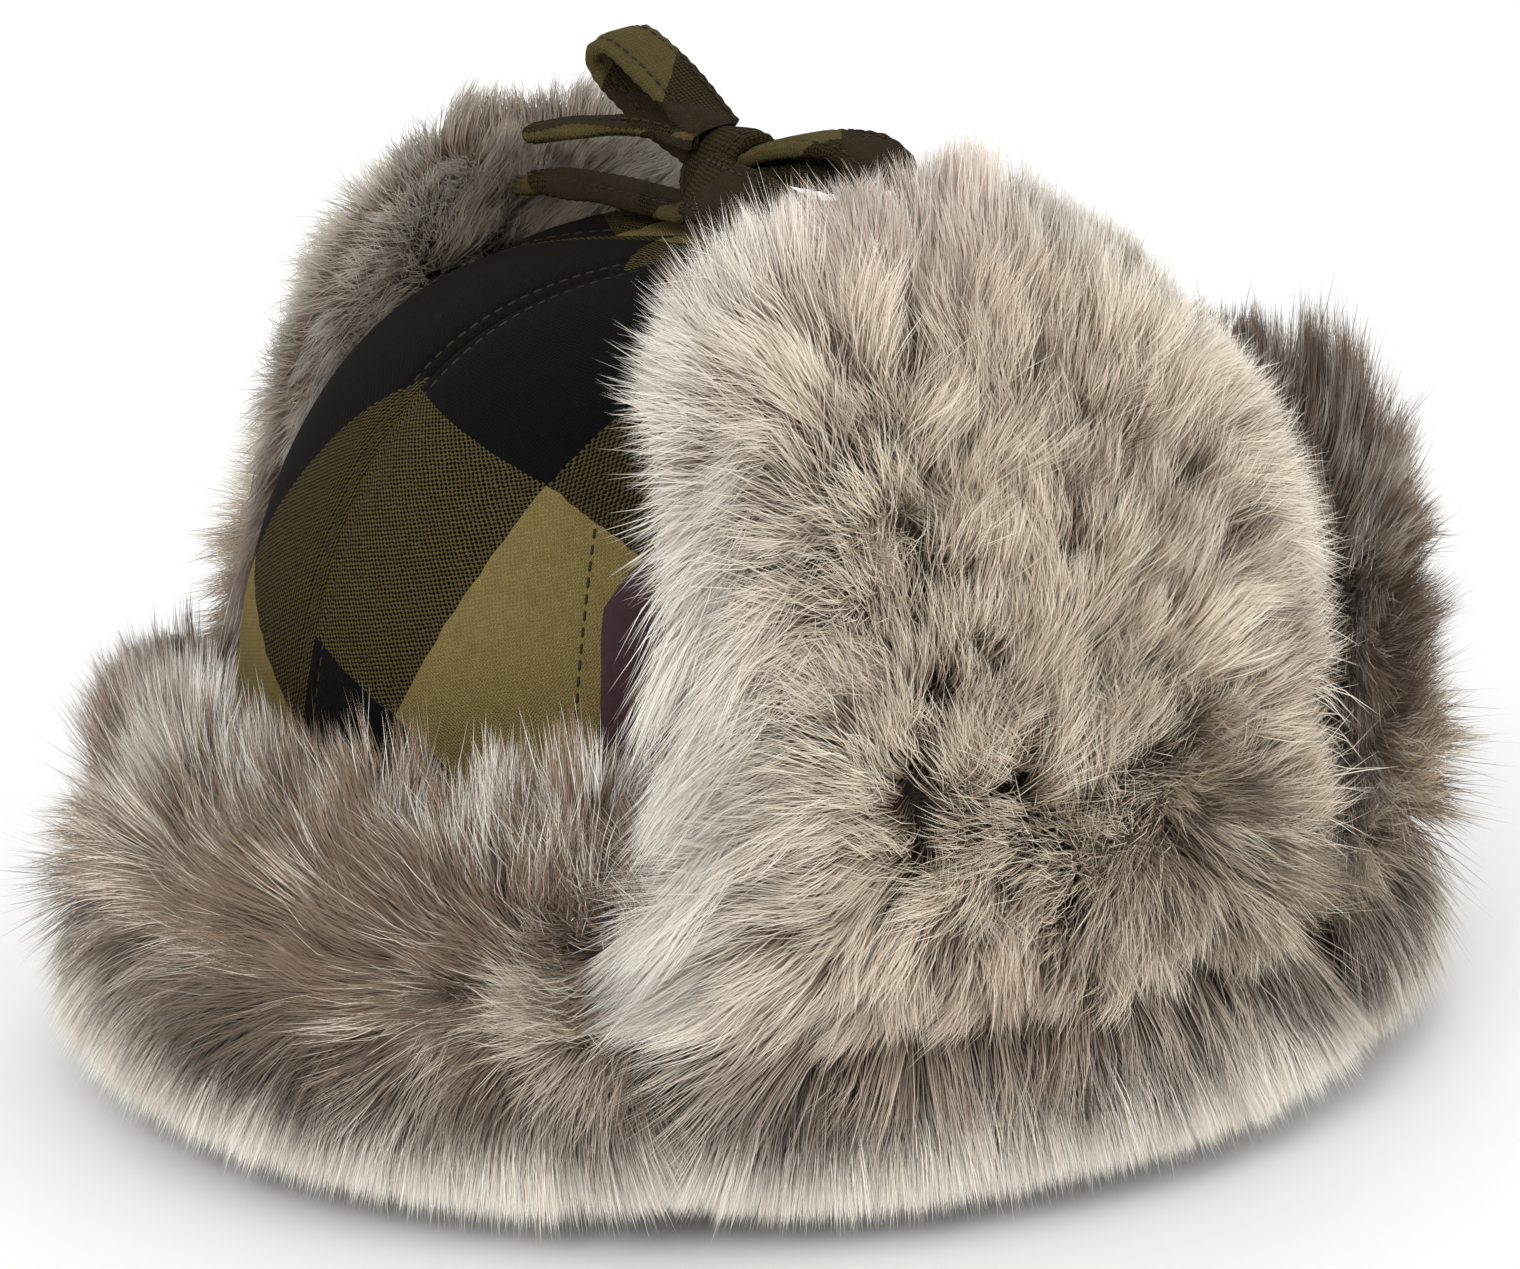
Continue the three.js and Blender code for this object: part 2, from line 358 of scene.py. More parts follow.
def noise(tree, vector, scale, detail=2.0, roughness=0.5):
    made = tree.nodes.new("ShaderNodeTexNoise")
    tree.links.new(vector, made.inputs["Vector"])
    made.inputs["Scale"].default_value = scale
    made.inputs["Detail"].default_value = detail
    made.inputs["Roughness"].default_value = roughness
    return made.outputs["Fac"]


def bump(tree, shader, height, distance, strength=1.0):
    made = tree.nodes.new("ShaderNodeBump")
    made.inputs["Distance"].default_value = distance
    made.inputs["Strength"].default_value = strength
    tree.links.new(height, made.inputs["Height"])
    tree.links.new(made.outputs["Normal"], shader.inputs["Normal"])


def object_coordinates(tree):
    return tree.nodes.new("ShaderNodeTexCoord").outputs["Object"]


OLIVE = (0.225, 0.172, 0.064)
BLACK = (0.0048, 0.0049, 0.0055)
YARN = 0.54 * MM
CHECK = 110 * MM  # one olive and one black stripe
WOBBLE = 0.9 * MM  # how far the yarns stray from straight
SLUB = 1.1  # how far thick places push a yarn over, in yarns
CROSSED_SHADE = 0.56  # how much darker the cloth is where light and dark yarns cross
WEFT_TONE = 0.82


def check_material(name, light=OLIVE, dark=BLACK, check=CHECK):
    """A woven check: stripes of light and dark warp cross stripes of light and dark weft. UVs are metres."""
    material, tree, shader = new_material(name)

    def calc(operation, *values):
        return math_node(tree, operation, *values)

    def dark_stripe(place):
        return calc("GREATER_THAN", calc("FRACT", calc("DIVIDE", place, check)), 0.5)

    place = object_coordinates(tree)
    uv = tree.nodes.new("ShaderNodeUVMap")
    uv.uv_map = "cloth"
    split = tree.nodes.new("ShaderNodeSeparateXYZ")
    tree.links.new(uv.outputs["UV"], split.inputs[0])
    wobble = noise(tree, place, 160, 2)
    wobble = calc("MULTIPLY", calc("SUBTRACT", wobble, 0.5), WOBBLE)
    slub = noise(tree, place, 900, 3, 0.7)
    slub = calc("MULTIPLY", calc("SUBTRACT", slub, 0.5), SLUB)
    warp = calc("ADD", split.outputs[0], wobble)
    weft = calc("ADD", split.outputs[1], wobble)
    dark_warp = dark_stripe(warp)
    dark_weft = dark_stripe(weft)
    warp_yarn = calc("ADD", calc("DIVIDE", warp, YARN), slub)
    weft_yarn = calc("SUBTRACT", calc("DIVIDE", weft, YARN), slub)
    steps = calc("ADD", calc("FLOOR", warp_yarn), calc("FLOOR", weft_yarn))
    over = calc("LESS_THAN", calc("FLOORED_MODULO", steps, 2.0), 0.9)
    fibres = noise(tree, place, 2600, 3, 0.7)
    mottle = noise(tree, place, 420, 3, 0.6)
    tone = calc("ADD", calc("MULTIPLY", fibres, 0.9), calc("MULTIPLY", mottle, 0.7))
    crossed = calc("ABSOLUTE", calc("SUBTRACT", dark_warp, dark_weft))
    crossed = calc("SUBTRACT", 1.0, calc("MULTIPLY", crossed, CROSSED_SHADE))
    warp_colour = mix_colour(tree, dark_warp, light, dark)
    weft_colour = mix_colour(tree, dark_weft, tuple(WEFT_TONE * c for c in light), dark)
    colour = mix_colour(tree, over, warp_colour, weft_colour)
    shade = tree.nodes.new("ShaderNodeMix")
    shade.data_type = "RGBA"
    shade.blend_type = "MULTIPLY"
    shade.inputs["Factor"].default_value = 1
    tree.links.new(colour, shade.inputs[6])
    grey = tree.nodes.new("ShaderNodeCombineColor")
    for socket in grey.inputs:
        bright = calc("ADD", calc("MULTIPLY", tone, 0.75), 0.4)
        tree.links.new(calc("MULTIPLY", bright, crossed), socket)
    tree.links.new(grey.outputs[0], shade.inputs[7])
    tree.links.new(shade.outputs[2], shader.inputs["Base Color"])
    rounds = [
        calc("ABSOLUTE", calc("SINE", calc("MULTIPLY", yarn, math.pi)))
        for yarn in (warp_yarn, weft_yarn)
    ]
    weave = calc("MULTIPLY", *rounds)
    height = calc("ADD", weave, calc("MULTIPLY", fibres, 1.4))
    bump(tree, shader, height, 0.35 * MM, 0.8)
    shader.inputs["Roughness"].default_value = 0.95
    shader.inputs["Specular IOR Level"].default_value = 0.03
    shader.inputs["Sheen Weight"].default_value = 0.025
    shader.inputs["Sheen Roughness"].default_value = 0.35
    shader.inputs["Sheen Tint"].default_value = (0.75, 0.6, 0.36, 1)
    return material


def cloth_material(name, dark, light, scale=900, roughness=0.9, depth=0.3 * MM, sheen=0.04):
    """Plain brushed or twill cloth whose tone wanders between two colours."""
    material, tree, shader = new_material(name)
    place = object_coordinates(tree)
    fine = noise(tree, place, scale, 4, 0.7)
    broad = noise(tree, place, scale / 18, 3)
    fine_share, broad_share = math_node(tree, "MULTIPLY", fine, 0.65), math_node(tree, "MULTIPLY", broad, 0.35)
    share = math_node(tree, "ADD", fine_share, broad_share)
    tree.links.new(mix_colour(tree, share, dark, light), shader.inputs["Base Color"])
    bump(tree, shader, fine, depth, 0.7)
    shader.inputs["Roughness"].default_value = roughness
    shader.inputs["Specular IOR Level"].default_value = 0.2
    shader.inputs["Sheen Weight"].default_value = sheen
    return material


def fur_material():
    material, tree, shader = new_material("fur_pile")
    tint = tree.nodes.new("ShaderNodeAttribute")
    tint.attribute_name = "tint"
    tree.links.new(tint.outputs["Color"], shader.inputs["Base Color"])
    shader.inputs["Roughness"].default_value = 0.62
    shader.inputs["Specular IOR Level"].default_value = 0.25
    shader.inputs["Sheen Weight"].default_value = 0.15
    return material


CHECK_CLOTH = check_material("check_cloth")
TIE_CLOTH = check_material("tie_cloth", (0.10, 0.078, 0.031), (0.034, 0.025, 0.015), 46 * MM)
PLUM_CLOTH = cloth_material("plum_cloth", (0.022, 0.010, 0.012), (0.06, 0.03, 0.034))
PELT_CLOTH = cloth_material("pelt_backing", (0.045, 0.034, 0.027), (0.16, 0.13, 0.105), 700, depth=1.2 * MM)
BINDING_CLOTH = cloth_material("binding_twill", (0.018, 0.012, 0.012), (0.05, 0.035, 0.033), scale=1400)
SATIN = cloth_material("lining_satin", (0.012, 0.012, 0.015), (0.03, 0.03, 0.036), 1500, 0.42, 0.1 * MM)
BAND_CLOTH = cloth_material("sweatband_rib", (0.02, 0.016, 0.017), (0.05, 0.042, 0.044), scale=1100)
THREAD = cloth_material("thread", (0.018, 0.013, 0.009), (0.045, 0.033, 0.020), scale=3000)
FLEECE = cloth_material("fleece", (0.45, 0.44, 0.42), (0.7, 0.69, 0.66), scale=500, depth=1 * MM)
BUCKRAM = cloth_material("buckram", (0.30, 0.27, 0.2), (0.5, 0.46, 0.36), scale=1200)
FUR = fur_material()


def finish_piece(piece, material, body, nodes=()):
    piece.data.materials.append(material)
    if body:
        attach(piece, body)
    if nodes:
        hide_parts(*nodes)
    return piece


# ---- Sewn details ----
def smooth_line(points, count, closed=False):
    """Evenly spaced points along a smooth curve through the given ones."""
    points = np.asarray(points, float)
    if closed:
        ends = np.concatenate([points[-1:], points, points[:2]])
    else:
        ends = np.concatenate([2 * points[:1] - points[1:2], points, 2 * points[-1:] - points[-2:-1]])
    t = np.linspace(0, 1, 24, endpoint=False)[:, None]
    spans = []
    for a, b, c, d in zip(ends, ends[1:], ends[2:], ends[3:]):
        cubic = 2 * b + (c - a) * t + (2 * a - 5 * b + 4 * c - d) * t**2 + (3 * b - a - 3 * c + d) * t**3
        spans.append(cubic / 2)
    line = np.concatenate([*spans, ends[-2:-1]])
    lengths = distances(line)
    even = np.linspace(0, lengths[-1], count)
    return np.stack([np.interp(even, lengths, line[:, axis]) for axis in range(3)], 1)


def stitch_row(name, path, normals, body, pitch=3.1 * MM, length=2.1 * MM, radius=0.24 * MM):
    """A row of thread stitches lying along a path on a cloth surface."""
    lengths = distances(path)
    middles = np.arange(pitch / 2, lengths[-1], pitch)

    def at(where, values):
        return np.stack([np.interp(where, lengths, values[:, axis]) for axis in range(3)], 1)

    centre, up = at(middles, path), unit(at(middles, normals))
    along = unit(at(middles + 0.4 * pitch, path) - at(middles - 0.4 * pitch, path))
    side = unit(np.cross(up, along))
    rings = []
    for step, size in ((-0.5, 0.4), (-0.36, 1.0), (0.36, 1.0), (0.5, 0.4)):
        for k in range(6):
            angle = k * math.pi / 3
            drop = -0.7 * radius * (1 - size)
            rings.append(
                centre
                + along * (step * length)
                + side * (math.cos(angle) * radius * 1.3 * size)
                + up * (math.sin(angle) * radius * size + drop)
            )
    points = np.stack(rings, 1).reshape(-1, 3)
    sides = [(6 * ring + k, 6 * ring + (k + 1) % 6) for ring in range(3) for k in range(6)]
    quads = [[a, b, b + 6, a + 6] for a, b in sides]
    quads += [[0, 3, 2, 1], [0, 5, 4, 3], [18, 19, 20, 21], [18, 21, 22, 23]]
    faces = (np.arange(len(centre)) * 24)[:, None, None] + np.array(quads)[:, ::-1]
    return finish_piece(add_mesh(name, points, faces.reshape(-1, 4)), THREAD, body)


# ---- Crown ----
SEAM_DIP = 1.3 * MM
STITCH_INSET = 3.6 * MM
FACING_TURN = 41.5 * DEGREE  # here the front cloth ends in a topstitched edge over a plain facing
CROWN_FOLDS = Waves(3, 0.11)
FINE_FOLDS = Waves(4, 0.035)
CROWN_END = 0.9995
INSIDE_END = 0.999
FACING_END = 75 * DEGREE
FACING_TOP = 0.46
STITCH_LOW, STITCH_HIGH = 0.02, 0.93
QUILT_COLUMNS, QUILT_ROWS = 24, 11


def crown_normal(points):
    reach = np.hypot(points[:, 0] / HALF_WIDTH, points[:, 1] / HALF_LENGTH)
    slope = np.maximum(reach, 1e-4) ** (CROWN_POWER - 2)
    height = (points[:, 2] - RIM) / (CROWN_TOP - RIM)
    return unit(
        vectors(
            slope * points[:, 0] / HALF_WIDTH**2,
            slope * points[:, 1] / HALF_LENGTH**2,
            np.maximum(height, 0) ** (CROWN_POWER - 1) / (CROWN_TOP - RIM),
        )
    )


def crown_cloth(turn, rise, depth, first, last):
    """The padded cloth between two seams: full in its middle, pulled in at the seams and their stitching."""
    points = crown_surface(turn, rise)
    radius = np.hypot(points[:, 0], points[:, 1])
    from_seam = np.minimum(turn - first, last - turn) * radius
    fullness = 1 - np.exp(-from_seam / (5 * MM))
    groove = hump(from_seam, STITCH_INSET, 0.9 * MM)
    fade = smooth(0, 0.04, rise) * (1 - smooth(0.93, 1, rise))
    folds = 0.9 * MM * CROWN_FOLDS(points) + 0.3 * MM * FINE_FOLDS(points)
    relief = fade * (SEAM_DIP * (fullness - 1) - 0.45 * MM * groove + folds * fullness)
    return points + crown_normal(points) * (relief - depth)[:, None]


# Yarn coordinates of each panel: the first two are cut so that the check's corners fall where they show
# beside the front seam, and the others come from other places of the same cloth.
CHECK_TURN = 60.5 * DEGREE
CHECK_SHIFTS = {
    "front_left": (47.9 * MM, 63.2 * MM),
    "left": (31 * MM, 12 * MM),
    "back_left": (64 * MM, 40 * MM),
    "back_right": (12 * MM, 71 * MM),
    "right": (47 * MM, 25 * MM),
    "front_right": (73 * MM, 40 * MM),
}


# How the cloth is eased into its seams: the corner it starts from, the share of each way kept, and the shear.
CHECK_EASE = {
    "front_left": (117 * MM, -63.2 * MM, 0.66, 0.72, -0.18),
    "front_right": (92 * MM, -40 * MM, 0.62, 0.85, 0.0),
}


def eased(name, a, b):
    if name not in CHECK_EASE:
        return a, b
    corner_a, corner_b, keep_a, keep_b, shear = CHECK_EASE[name]
    past = np.minimum(b - corner_b, 0)
    a = a + np.maximum(a - corner_a, 0) * (keep_a - 1) + past * shear
    return a, b + past * (keep_b - 1)


def panel_uv(index, shift, first, last):
    middle = (index + 0.5) * PANEL_SPREAD
    rises = np.linspace(0, 1, 401)
    lengths = distances(crown_surface(np.full(401, middle), rises))

    def uv(u, v):
        turn = mix(first, last, seam_spacing(u))
        rise = v * CROWN_END
        along = np.interp(rise, rises, lengths)
        radius = np.linalg.norm(crown_surface(np.full(len(v), middle), rise)[:, :2], axis=1)
        across = (turn - middle) * radius
        c, s = math.cos(CHECK_TURN), math.sin(CHECK_TURN)
        a, b = eased(PANELS[index], across * c + along * s, across * s - along * c)
        return np.stack([a + shift[0], b + shift[1]], -1)

    return uv


def seam_spacing(u):
    """Columns lie closer together towards the seams."""
    return u - 0.115 * np.sin(2 * math.pi * u)


def crown_panel(name, index, first, last):
    def surface(below):
        return lambda u, v: crown_cloth(mix(first, last, seam_spacing(u)), v * CROWN_END, below, first, last)

    flat = panel_uv(index, CHECK_SHIFTS[PANELS[index]], first, last)
    piece = closed_panel(name, surface(0.0), surface(CLOTH), 44, 56, flat)
    finish_piece(piece, CHECK_CLOTH, "root", ["crown_panel_" + PANELS[index]])


def add_facing(name, first, last, top):
    """A plain facing sewn over the side of a front panel, under the ear flap's edge."""

    def surface(above):
        def place(u, v):
            turn = mix(first, last, u)
            points = crown_surface(turn, v * top * (1 - 0.22 * np.abs(2 * u - 1) ** 3))
            edge = np.minimum(np.minimum(u, 1 - u) * 8, 1) ** 0.5
            return points + crown_normal(points) * (above * edge + 0.15 * MM * FINE_FOLDS(points))[:, None]

        return place

    facing = closed_panel(name, surface(1.5 * MM), surface(-0.2 * MM), 24, 40)
    finish_piece(facing, PLUM_CLOTH, "root")


def crown_stitches(name, turn_at, low, high, first, last):
    rise = np.linspace(low, high, 160)
    turn = turn_at(rise)
    points = crown_cloth(turn, rise, 0.0, first, last)
    stitch_row(name, points, crown_normal(points), "root")


def inset_turn(seam, side):
    def turn_at(rise):
        points = crown_surface(np.full(len(rise), seam), rise)
        return seam + side * STITCH_INSET / np.hypot(points[:, 0], points[:, 1])

    return turn_at


def add_crown():
    for index, name in enumerate(PANELS):
        first, last = index * PANEL_SPREAD, (index + 1) * PANEL_SPREAD
        crown_panel("crown_cloth_" + name, index, first, last)
        crown_stitches(f"crown_stitches_{name}_1", inset_turn(first, 1), STITCH_LOW, STITCH_HIGH, first, last)
        crown_stitches(f"crown_stitches_{name}_2", inset_turn(last, -1), STITCH_LOW, STITCH_HIGH, first, last)
    add_facing("crown_facing_left", FACING_TURN, FACING_END, FACING_TOP)
    add_facing("crown_facing_right", -FACING_END, -FACING_TURN, FACING_TOP)
    crown_stitches("crown_facing_stitches", inset_turn(FACING_TURN, -1), STITCH_LOW, FACING_TOP, 0, PANEL_SPREAD)


def add_crown_inside():
    ring = 2 * math.pi

    def layer(depth):
        return lambda u, v: crown_surface(u * ring, v * INSIDE_END, depth)

    wadding = closed_panel("crown_fleece", layer(1.9 * MM), layer(5.7 * MM), 60, 24)
    finish_piece(wadding, FLEECE, "root", ["crown_wadding"])

    def quilted(u, v):
        points = crown_surface(u * ring, v * INSIDE_END, 0.0)
        across, along = u * QUILT_COLUMNS, v * QUILT_ROWS
        diamond = np.abs(np.sin(math.pi * (across + along))) * np.abs(np.sin(math.pi * (across - along)))
        puff = 1.7 * MM * np.sqrt(diamond) * (1 - smooth(0.85, 1, v))
        return points - crown_normal(points) * (6.4 * MM + puff)[:, None]

    lining = closed_panel("quilted_satin", quilted, layer(6.1 * MM), 192, 88)
    finish_piece(lining, SATIN, "root", ["quilted_lining"])


def band_surface(depth, low, high, relief=None):
    def surface(u, v):
        z = mix(low, high, v)
        lift = np.maximum(z - RIM, 0) / (CROWN_TOP - RIM - depth)
        reach = (1 - lift**CROWN_POWER) ** (1 / CROWN_POWER)
        inset = depth + (relief(u, v) if relief else 0)
        turn = u * 2 * math.pi
        wide, long = (HALF_WIDTH - inset) * reach, (HALF_LENGTH - inset) * reach
        return vectors(wide * np.sin(turn), -long * np.cos(turn), z)

    return surface


def add_sweatband():
    def folds(u, v):
        welt = hump(v, 0.9, 0.04) + hump(v, 0.1, 0.04)
        return 0.25 * MM * np.abs(np.sin(u * math.pi * 220)) - 0.4 * MM * welt

    low, high = RIM + 0.2 * MM, RIM + 32 * MM
    inner, outer = band_surface(10.2 * MM, low, high, folds), band_surface(8.6 * MM, low, high)
    band = closed_panel("ribbed_sweatband", inner, outer, 440, 20)
    finish_piece(band, BAND_CLOTH, "root", ["sweatband"])


def add_rim_binding():
    """The rim's folded band: its round section runs all the way round."""
    turns, sides = 160, 20
    turn = np.arange(turns) / turns * 2 * math.pi
    middle, half_depth, half_height = 5 * MM, 5 * MM, RIM / 2
    points = []
    for k in range(sides):
        angle = (k + 0.5) / sides * 2 * math.pi
        c, s = math.cos(angle), math.sin(angle)
        inset = middle + half_depth * math.copysign(abs(c) ** 0.5, c)
        pull = 0.12 * MM * np.sin(turn * 90 + angle)
        z = half_height + (half_height - 0.15 * MM) * math.copysign(abs(s) ** 0.6, s) + pull * s
        points.append(vectors((HALF_WIDTH - inset) * np.sin(turn), -(HALF_LENGTH - inset) * np.cos(turn), z))
    points = np.stack(points, 1).reshape(-1, 3)
    binding = add_mesh("folded_binding", points, tube_faces(turns, turns, sides))
    finish_piece(binding, BINDING_CLOTH, "root", ["rim_binding"])


# ---- Flaps ----
GROOVE = 41 * MM  # height of the parting between the flap's fur and the roll below it
FLAP_FOLDS = Waves(5, 0.07)


def pelt_depth(u, v, point):
    """Depth of the fur's skin: it rounds off at the edges and dips along the parting above the foot's roll."""
    z = point[:, 2]
    edge = np.maximum(np.abs(2 * u - 1), v) ** 8
    groove = hump(z, GROOVE, 6 * MM)
    foot = np.maximum(1 - z / (26 * MM), 0) ** 2
    return BACKING + 7 * MM - 4.5 * MM * edge - 3 * MM * groove - 4.5 * MM * foot


def pelt_back(u, v, point):
    """The pelt's back lies on the padding, and turns in over its edges."""
    edge = np.minimum(np.minimum(u, 1 - u), 1 - v)
    return mix(CLOTH + 0.2 * MM, BACKING, smooth(0.0, 0.03, edge))


def shell_depth(u, v, point):
    edge = np.minimum(np.minimum(u, 1 - u), 1 - v)
    welt = 0.35 * MM * hump(edge, 0.02, 0.02)
    welt = welt - 0.3 * MM * hump(edge, 0.055, 0.012)
    return -welt - 0.35 * MM * FLAP_FOLDS(point) * smooth(0.02, 0.2, edge) - 0.2 * MM


def flap_nodes(flap):
    """The CAD nodes of a flap's shell, middle layer and fur."""
    if flap == "visor":
        return "visor_shell", "visor_stiffener", "visor_fur"
    if flap == "neck_flap":
        return "neck_flap_shell", "neck_flap_wadding", "neck_flap_fur"
    side = flap.rsplit("_", 1)[1]
    return f"ear_flap_shell_{side}", f"ear_flap_wadding_{side}", f"ear_flap_fur_{side}"


def inset_face(face, depth):
    """A layer inside a flap that stops short of its edges."""
    surface = flap_offset(face, depth)
    return lambda u, v: surface(mix(0.035, 0.965, u), mix(0.01, 0.965, v))


def add_flap(flap, face):
    shell_node, middle_node, fur_node = flap_nodes(flap)
    shell = closed_panel(f"{flap}_cloth", flap_offset(face, CLOTH), flap_offset(face, shell_depth), 48, 48)
    finish_piece(shell, PLUM_CLOTH, flap, [shell_node])
    middle = closed_panel(f"{flap}_middle", inset_face(face, 5.3 * MM), inset_face(face, 1.8 * MM), 20, 20)
    if flap == "visor":
        finish_piece(middle, BUCKRAM, flap, [middle_node])
    else:
        finish_piece(middle, FLEECE, flap, [middle_node])
    pelt = closed_panel(f"{flap}_pelt", flap_offset(face, pelt_depth), flap_offset(face, pelt_back), 64, 64)
    finish_piece(pelt, PELT_CLOTH, flap, [fur_node])
    inset = np.linspace(0, 1, 60)
    u = np.concatenate([np.full(60, 0.055), mix(0.055, 0.945, inset), np.full(60, 0.945)])
    v = np.concatenate([mix(0.03, 0.945, inset), np.full(60, 0.945), mix(0.945, 0.03, inset)])
    _, normal, _, _ = flap_frame(face, u, v)
    path = flap_offset(face, shell_depth)(u, v)
    stitch_row(f"{flap}_stitches", path, -normal, flap)


# ---- Ties and bow ----
STRAP_WIDTH = 14 * MM
STRAP_HEIGHT = 4.6 * MM
STRAP_SIDES = 28
STRAP_FOLDS = Waves(6, 0.018)


def strap(name, points, across, body, node, shift, width=STRAP_WIDTH, height=STRAP_HEIGHT, closed=False):
    """A sewn cloth strap along a curve: a flat tube with a stitched groove near both edges."""
    steps = 96
    line = smooth_line(np.array(points) * MM, steps + 1, closed)
    if closed:
        tangent = unit(np.roll(line[:-1], -1, 0) - np.roll(line[:-1], 1, 0))
        tangent = np.concatenate([tangent, tangent[:1]])
    else:
        tangent = unit(np.gradient(line, axis=0))
    across = np.broadcast_to(np.asarray(across, float), line.shape)
    wide = unit(across - tangent * (across * tangent).sum(-1, keepdims=True))
    thick = np.cross(tangent, wide)
    angle = (np.arange(STRAP_SIDES) + 0.5) / STRAP_SIDES * 2 * math.pi
    x = np.sign(np.cos(angle)) * np.abs(np.cos(angle)) ** 0.6 * width / 2
    y = np.sign(np.sin(angle)) * np.abs(np.sin(angle)) ** 0.7 * height / 2
    inset = width / 2 - 2.1 * MM
    y = y * (1 - 0.3 * hump(np.abs(x), inset, 0.7 * MM))
    ring = line[:, None, :] + wide[:, None, :] * x[None, :, None] + thick[:, None, :] * y[None, :, None]
    puff = STRAP_FOLDS(ring.reshape(-1, 3)).reshape(ring.shape[:2]) * 0.3 * MM
    edge = smooth(inset - 0.5 * MM, inset + 1 * MM, np.abs(x))
    pucker = np.sin(np.arange(steps + 1) * 2 * math.pi / 4)[:, None] * edge
    puff = puff + 0.16 * MM * pucker
    ring = ring + thick[:, None, :] * (puff * np.sign(y))[:, :, None]
    if not closed:
        for end, inner in ((0, 1), (-1, -2)):
            ring[end] = line[end] + (ring[end] - line[end]) * 0.8
    around = np.concatenate([[0], np.cumsum(np.linalg.norm(np.roll(ring[0], -1, 0) - ring[0], axis=1))])
    along = np.linspace(0, np.linalg.norm(np.diff(line, axis=0), axis=1).sum(), steps + 1)
    rows = steps + (0 if closed else 1)
    faces = tube_faces(steps, rows, STRAP_SIDES)[:, ::-1]
    j, k = np.meshgrid(np.arange(steps), np.arange(STRAP_SIDES), indexing="ij")
    corners = ((j, k), (j + 1, k), (j + 1, k + 1), (j, k + 1))
    flat = np.stack([np.stack([along[a], around[b]], -1) for a, b in corners], 2).reshape(-1, 4, 2)[:, ::-1]
    if not closed:
        last_side = STRAP_SIDES - 1
        cap = np.array([[k, k + 1, last_side - 1 - k, last_side - k] for k in range(STRAP_SIDES // 2 - 1)])
        last = steps * STRAP_SIDES
        faces = np.concatenate([faces, cap, cap[:, ::-1] + last])
        flat = np.concatenate([flat, np.zeros((2 * len(cap), 4, 2)) + [along[-1], 0.003]])
    turned = np.stack([flat[..., 0] + flat[..., 1], flat[..., 1] - flat[..., 0]], -1) * math.sqrt(0.5)
    piece = add_mesh(name, ring[:rows].reshape(-1, 3), faces, (turned + np.array(shift) * MM).reshape(-1, 2))
    finish_piece(piece, TIE_CLOTH, body, [node] if node else ())
    for number, (edge, face) in enumerate(((1, 1), (-1, 1), (1, -1), (-1, -1))):
        place = line + wide * (edge * inset) + thick * (face * height * 0.36)
        row = f"{name}_stitches_{number + 1}"
        stitch_row(row, place, thick * face, body, 2.6 * MM, 1.7 * MM, 0.2 * MM)
    return piece


# Each strap of the bow: its course in mm, the way its width faces, its body, and its place on the cloth.
STRAPS = {
    "tie_left": (
        [(63, -13, 164.5), (48, -12, 166), (28, -9, 166), (9, -7, 166)],
        (0, 1, 0),
        "tie_left",
        (20, 35),
    ),
    "tie_right": (
        [(-62, -13, 163.5), (-48, -12, 166), (-28, -8, 166), (-11, -6, 166)],
        (0, 1, 0),
        "bow",
        (5, 88),
    ),
    "bow_loop_left": (
        [(3, -4, 179), (19, -2, 185), (31, 1, 186), (37.5, 3, 182)]
        + [(32, 3, 179.5), (20, -1, 179.5), (4, -4, 177)],
        (0.1, 1, 0.1),
        "bow",
        (90, 60),
    ),
    "bow_loop_right": (
        [(-4, -8, 184), (-13, -10, 191), (-23, -12, 197), (-29, -13, 199)]
        + [(-33.5, -12.5, 196), (-31, -10.5, 190), (-21, -9, 184.5), (-6, -7, 179)],
        (-0.2, 1, 0.1),
        "bow",
        (75, 20),
    ),
    "bow_tail_left": (
        [(5, -18, 176.5), (14, -19.5, 176.5), (24, -18.5, 175.5), (34, -16.5, 173)],
        (0.3, 0.5, 0.8),
        "bow",
        (60, 80),
    ),
    "bow_tail_right": (
        [(-4, -10, 182.5), (-16, -15, 184), (-28.5, -20.5, 182.5), (-41, -25, 179.5)],
        (0.4, -0.9, 0.1),
        "bow",
        (66, 10),
    ),
}
KNOT_CENTRE = (-1, -6, 175)


def add_bow():
    for node, (points, across, body, shift) in STRAPS.items():
        strap(node + "_strap", points, across, body, node, shift)
    turns = [k * math.pi / 4 for k in range(8)]
    x, y, z = KNOT_CENTRE
    wrap = [(x + 0.8 * math.sin(t), y - 6.4 * math.cos(t), z + 8.4 * math.sin(t)) for t in turns]
    strap("bow_knot_wrap", wrap, (1, 0, 0.12), "bow", "bow_knot", (80, 15), 15.5 * MM, 4.4 * MM, True)
    add_knot_core()


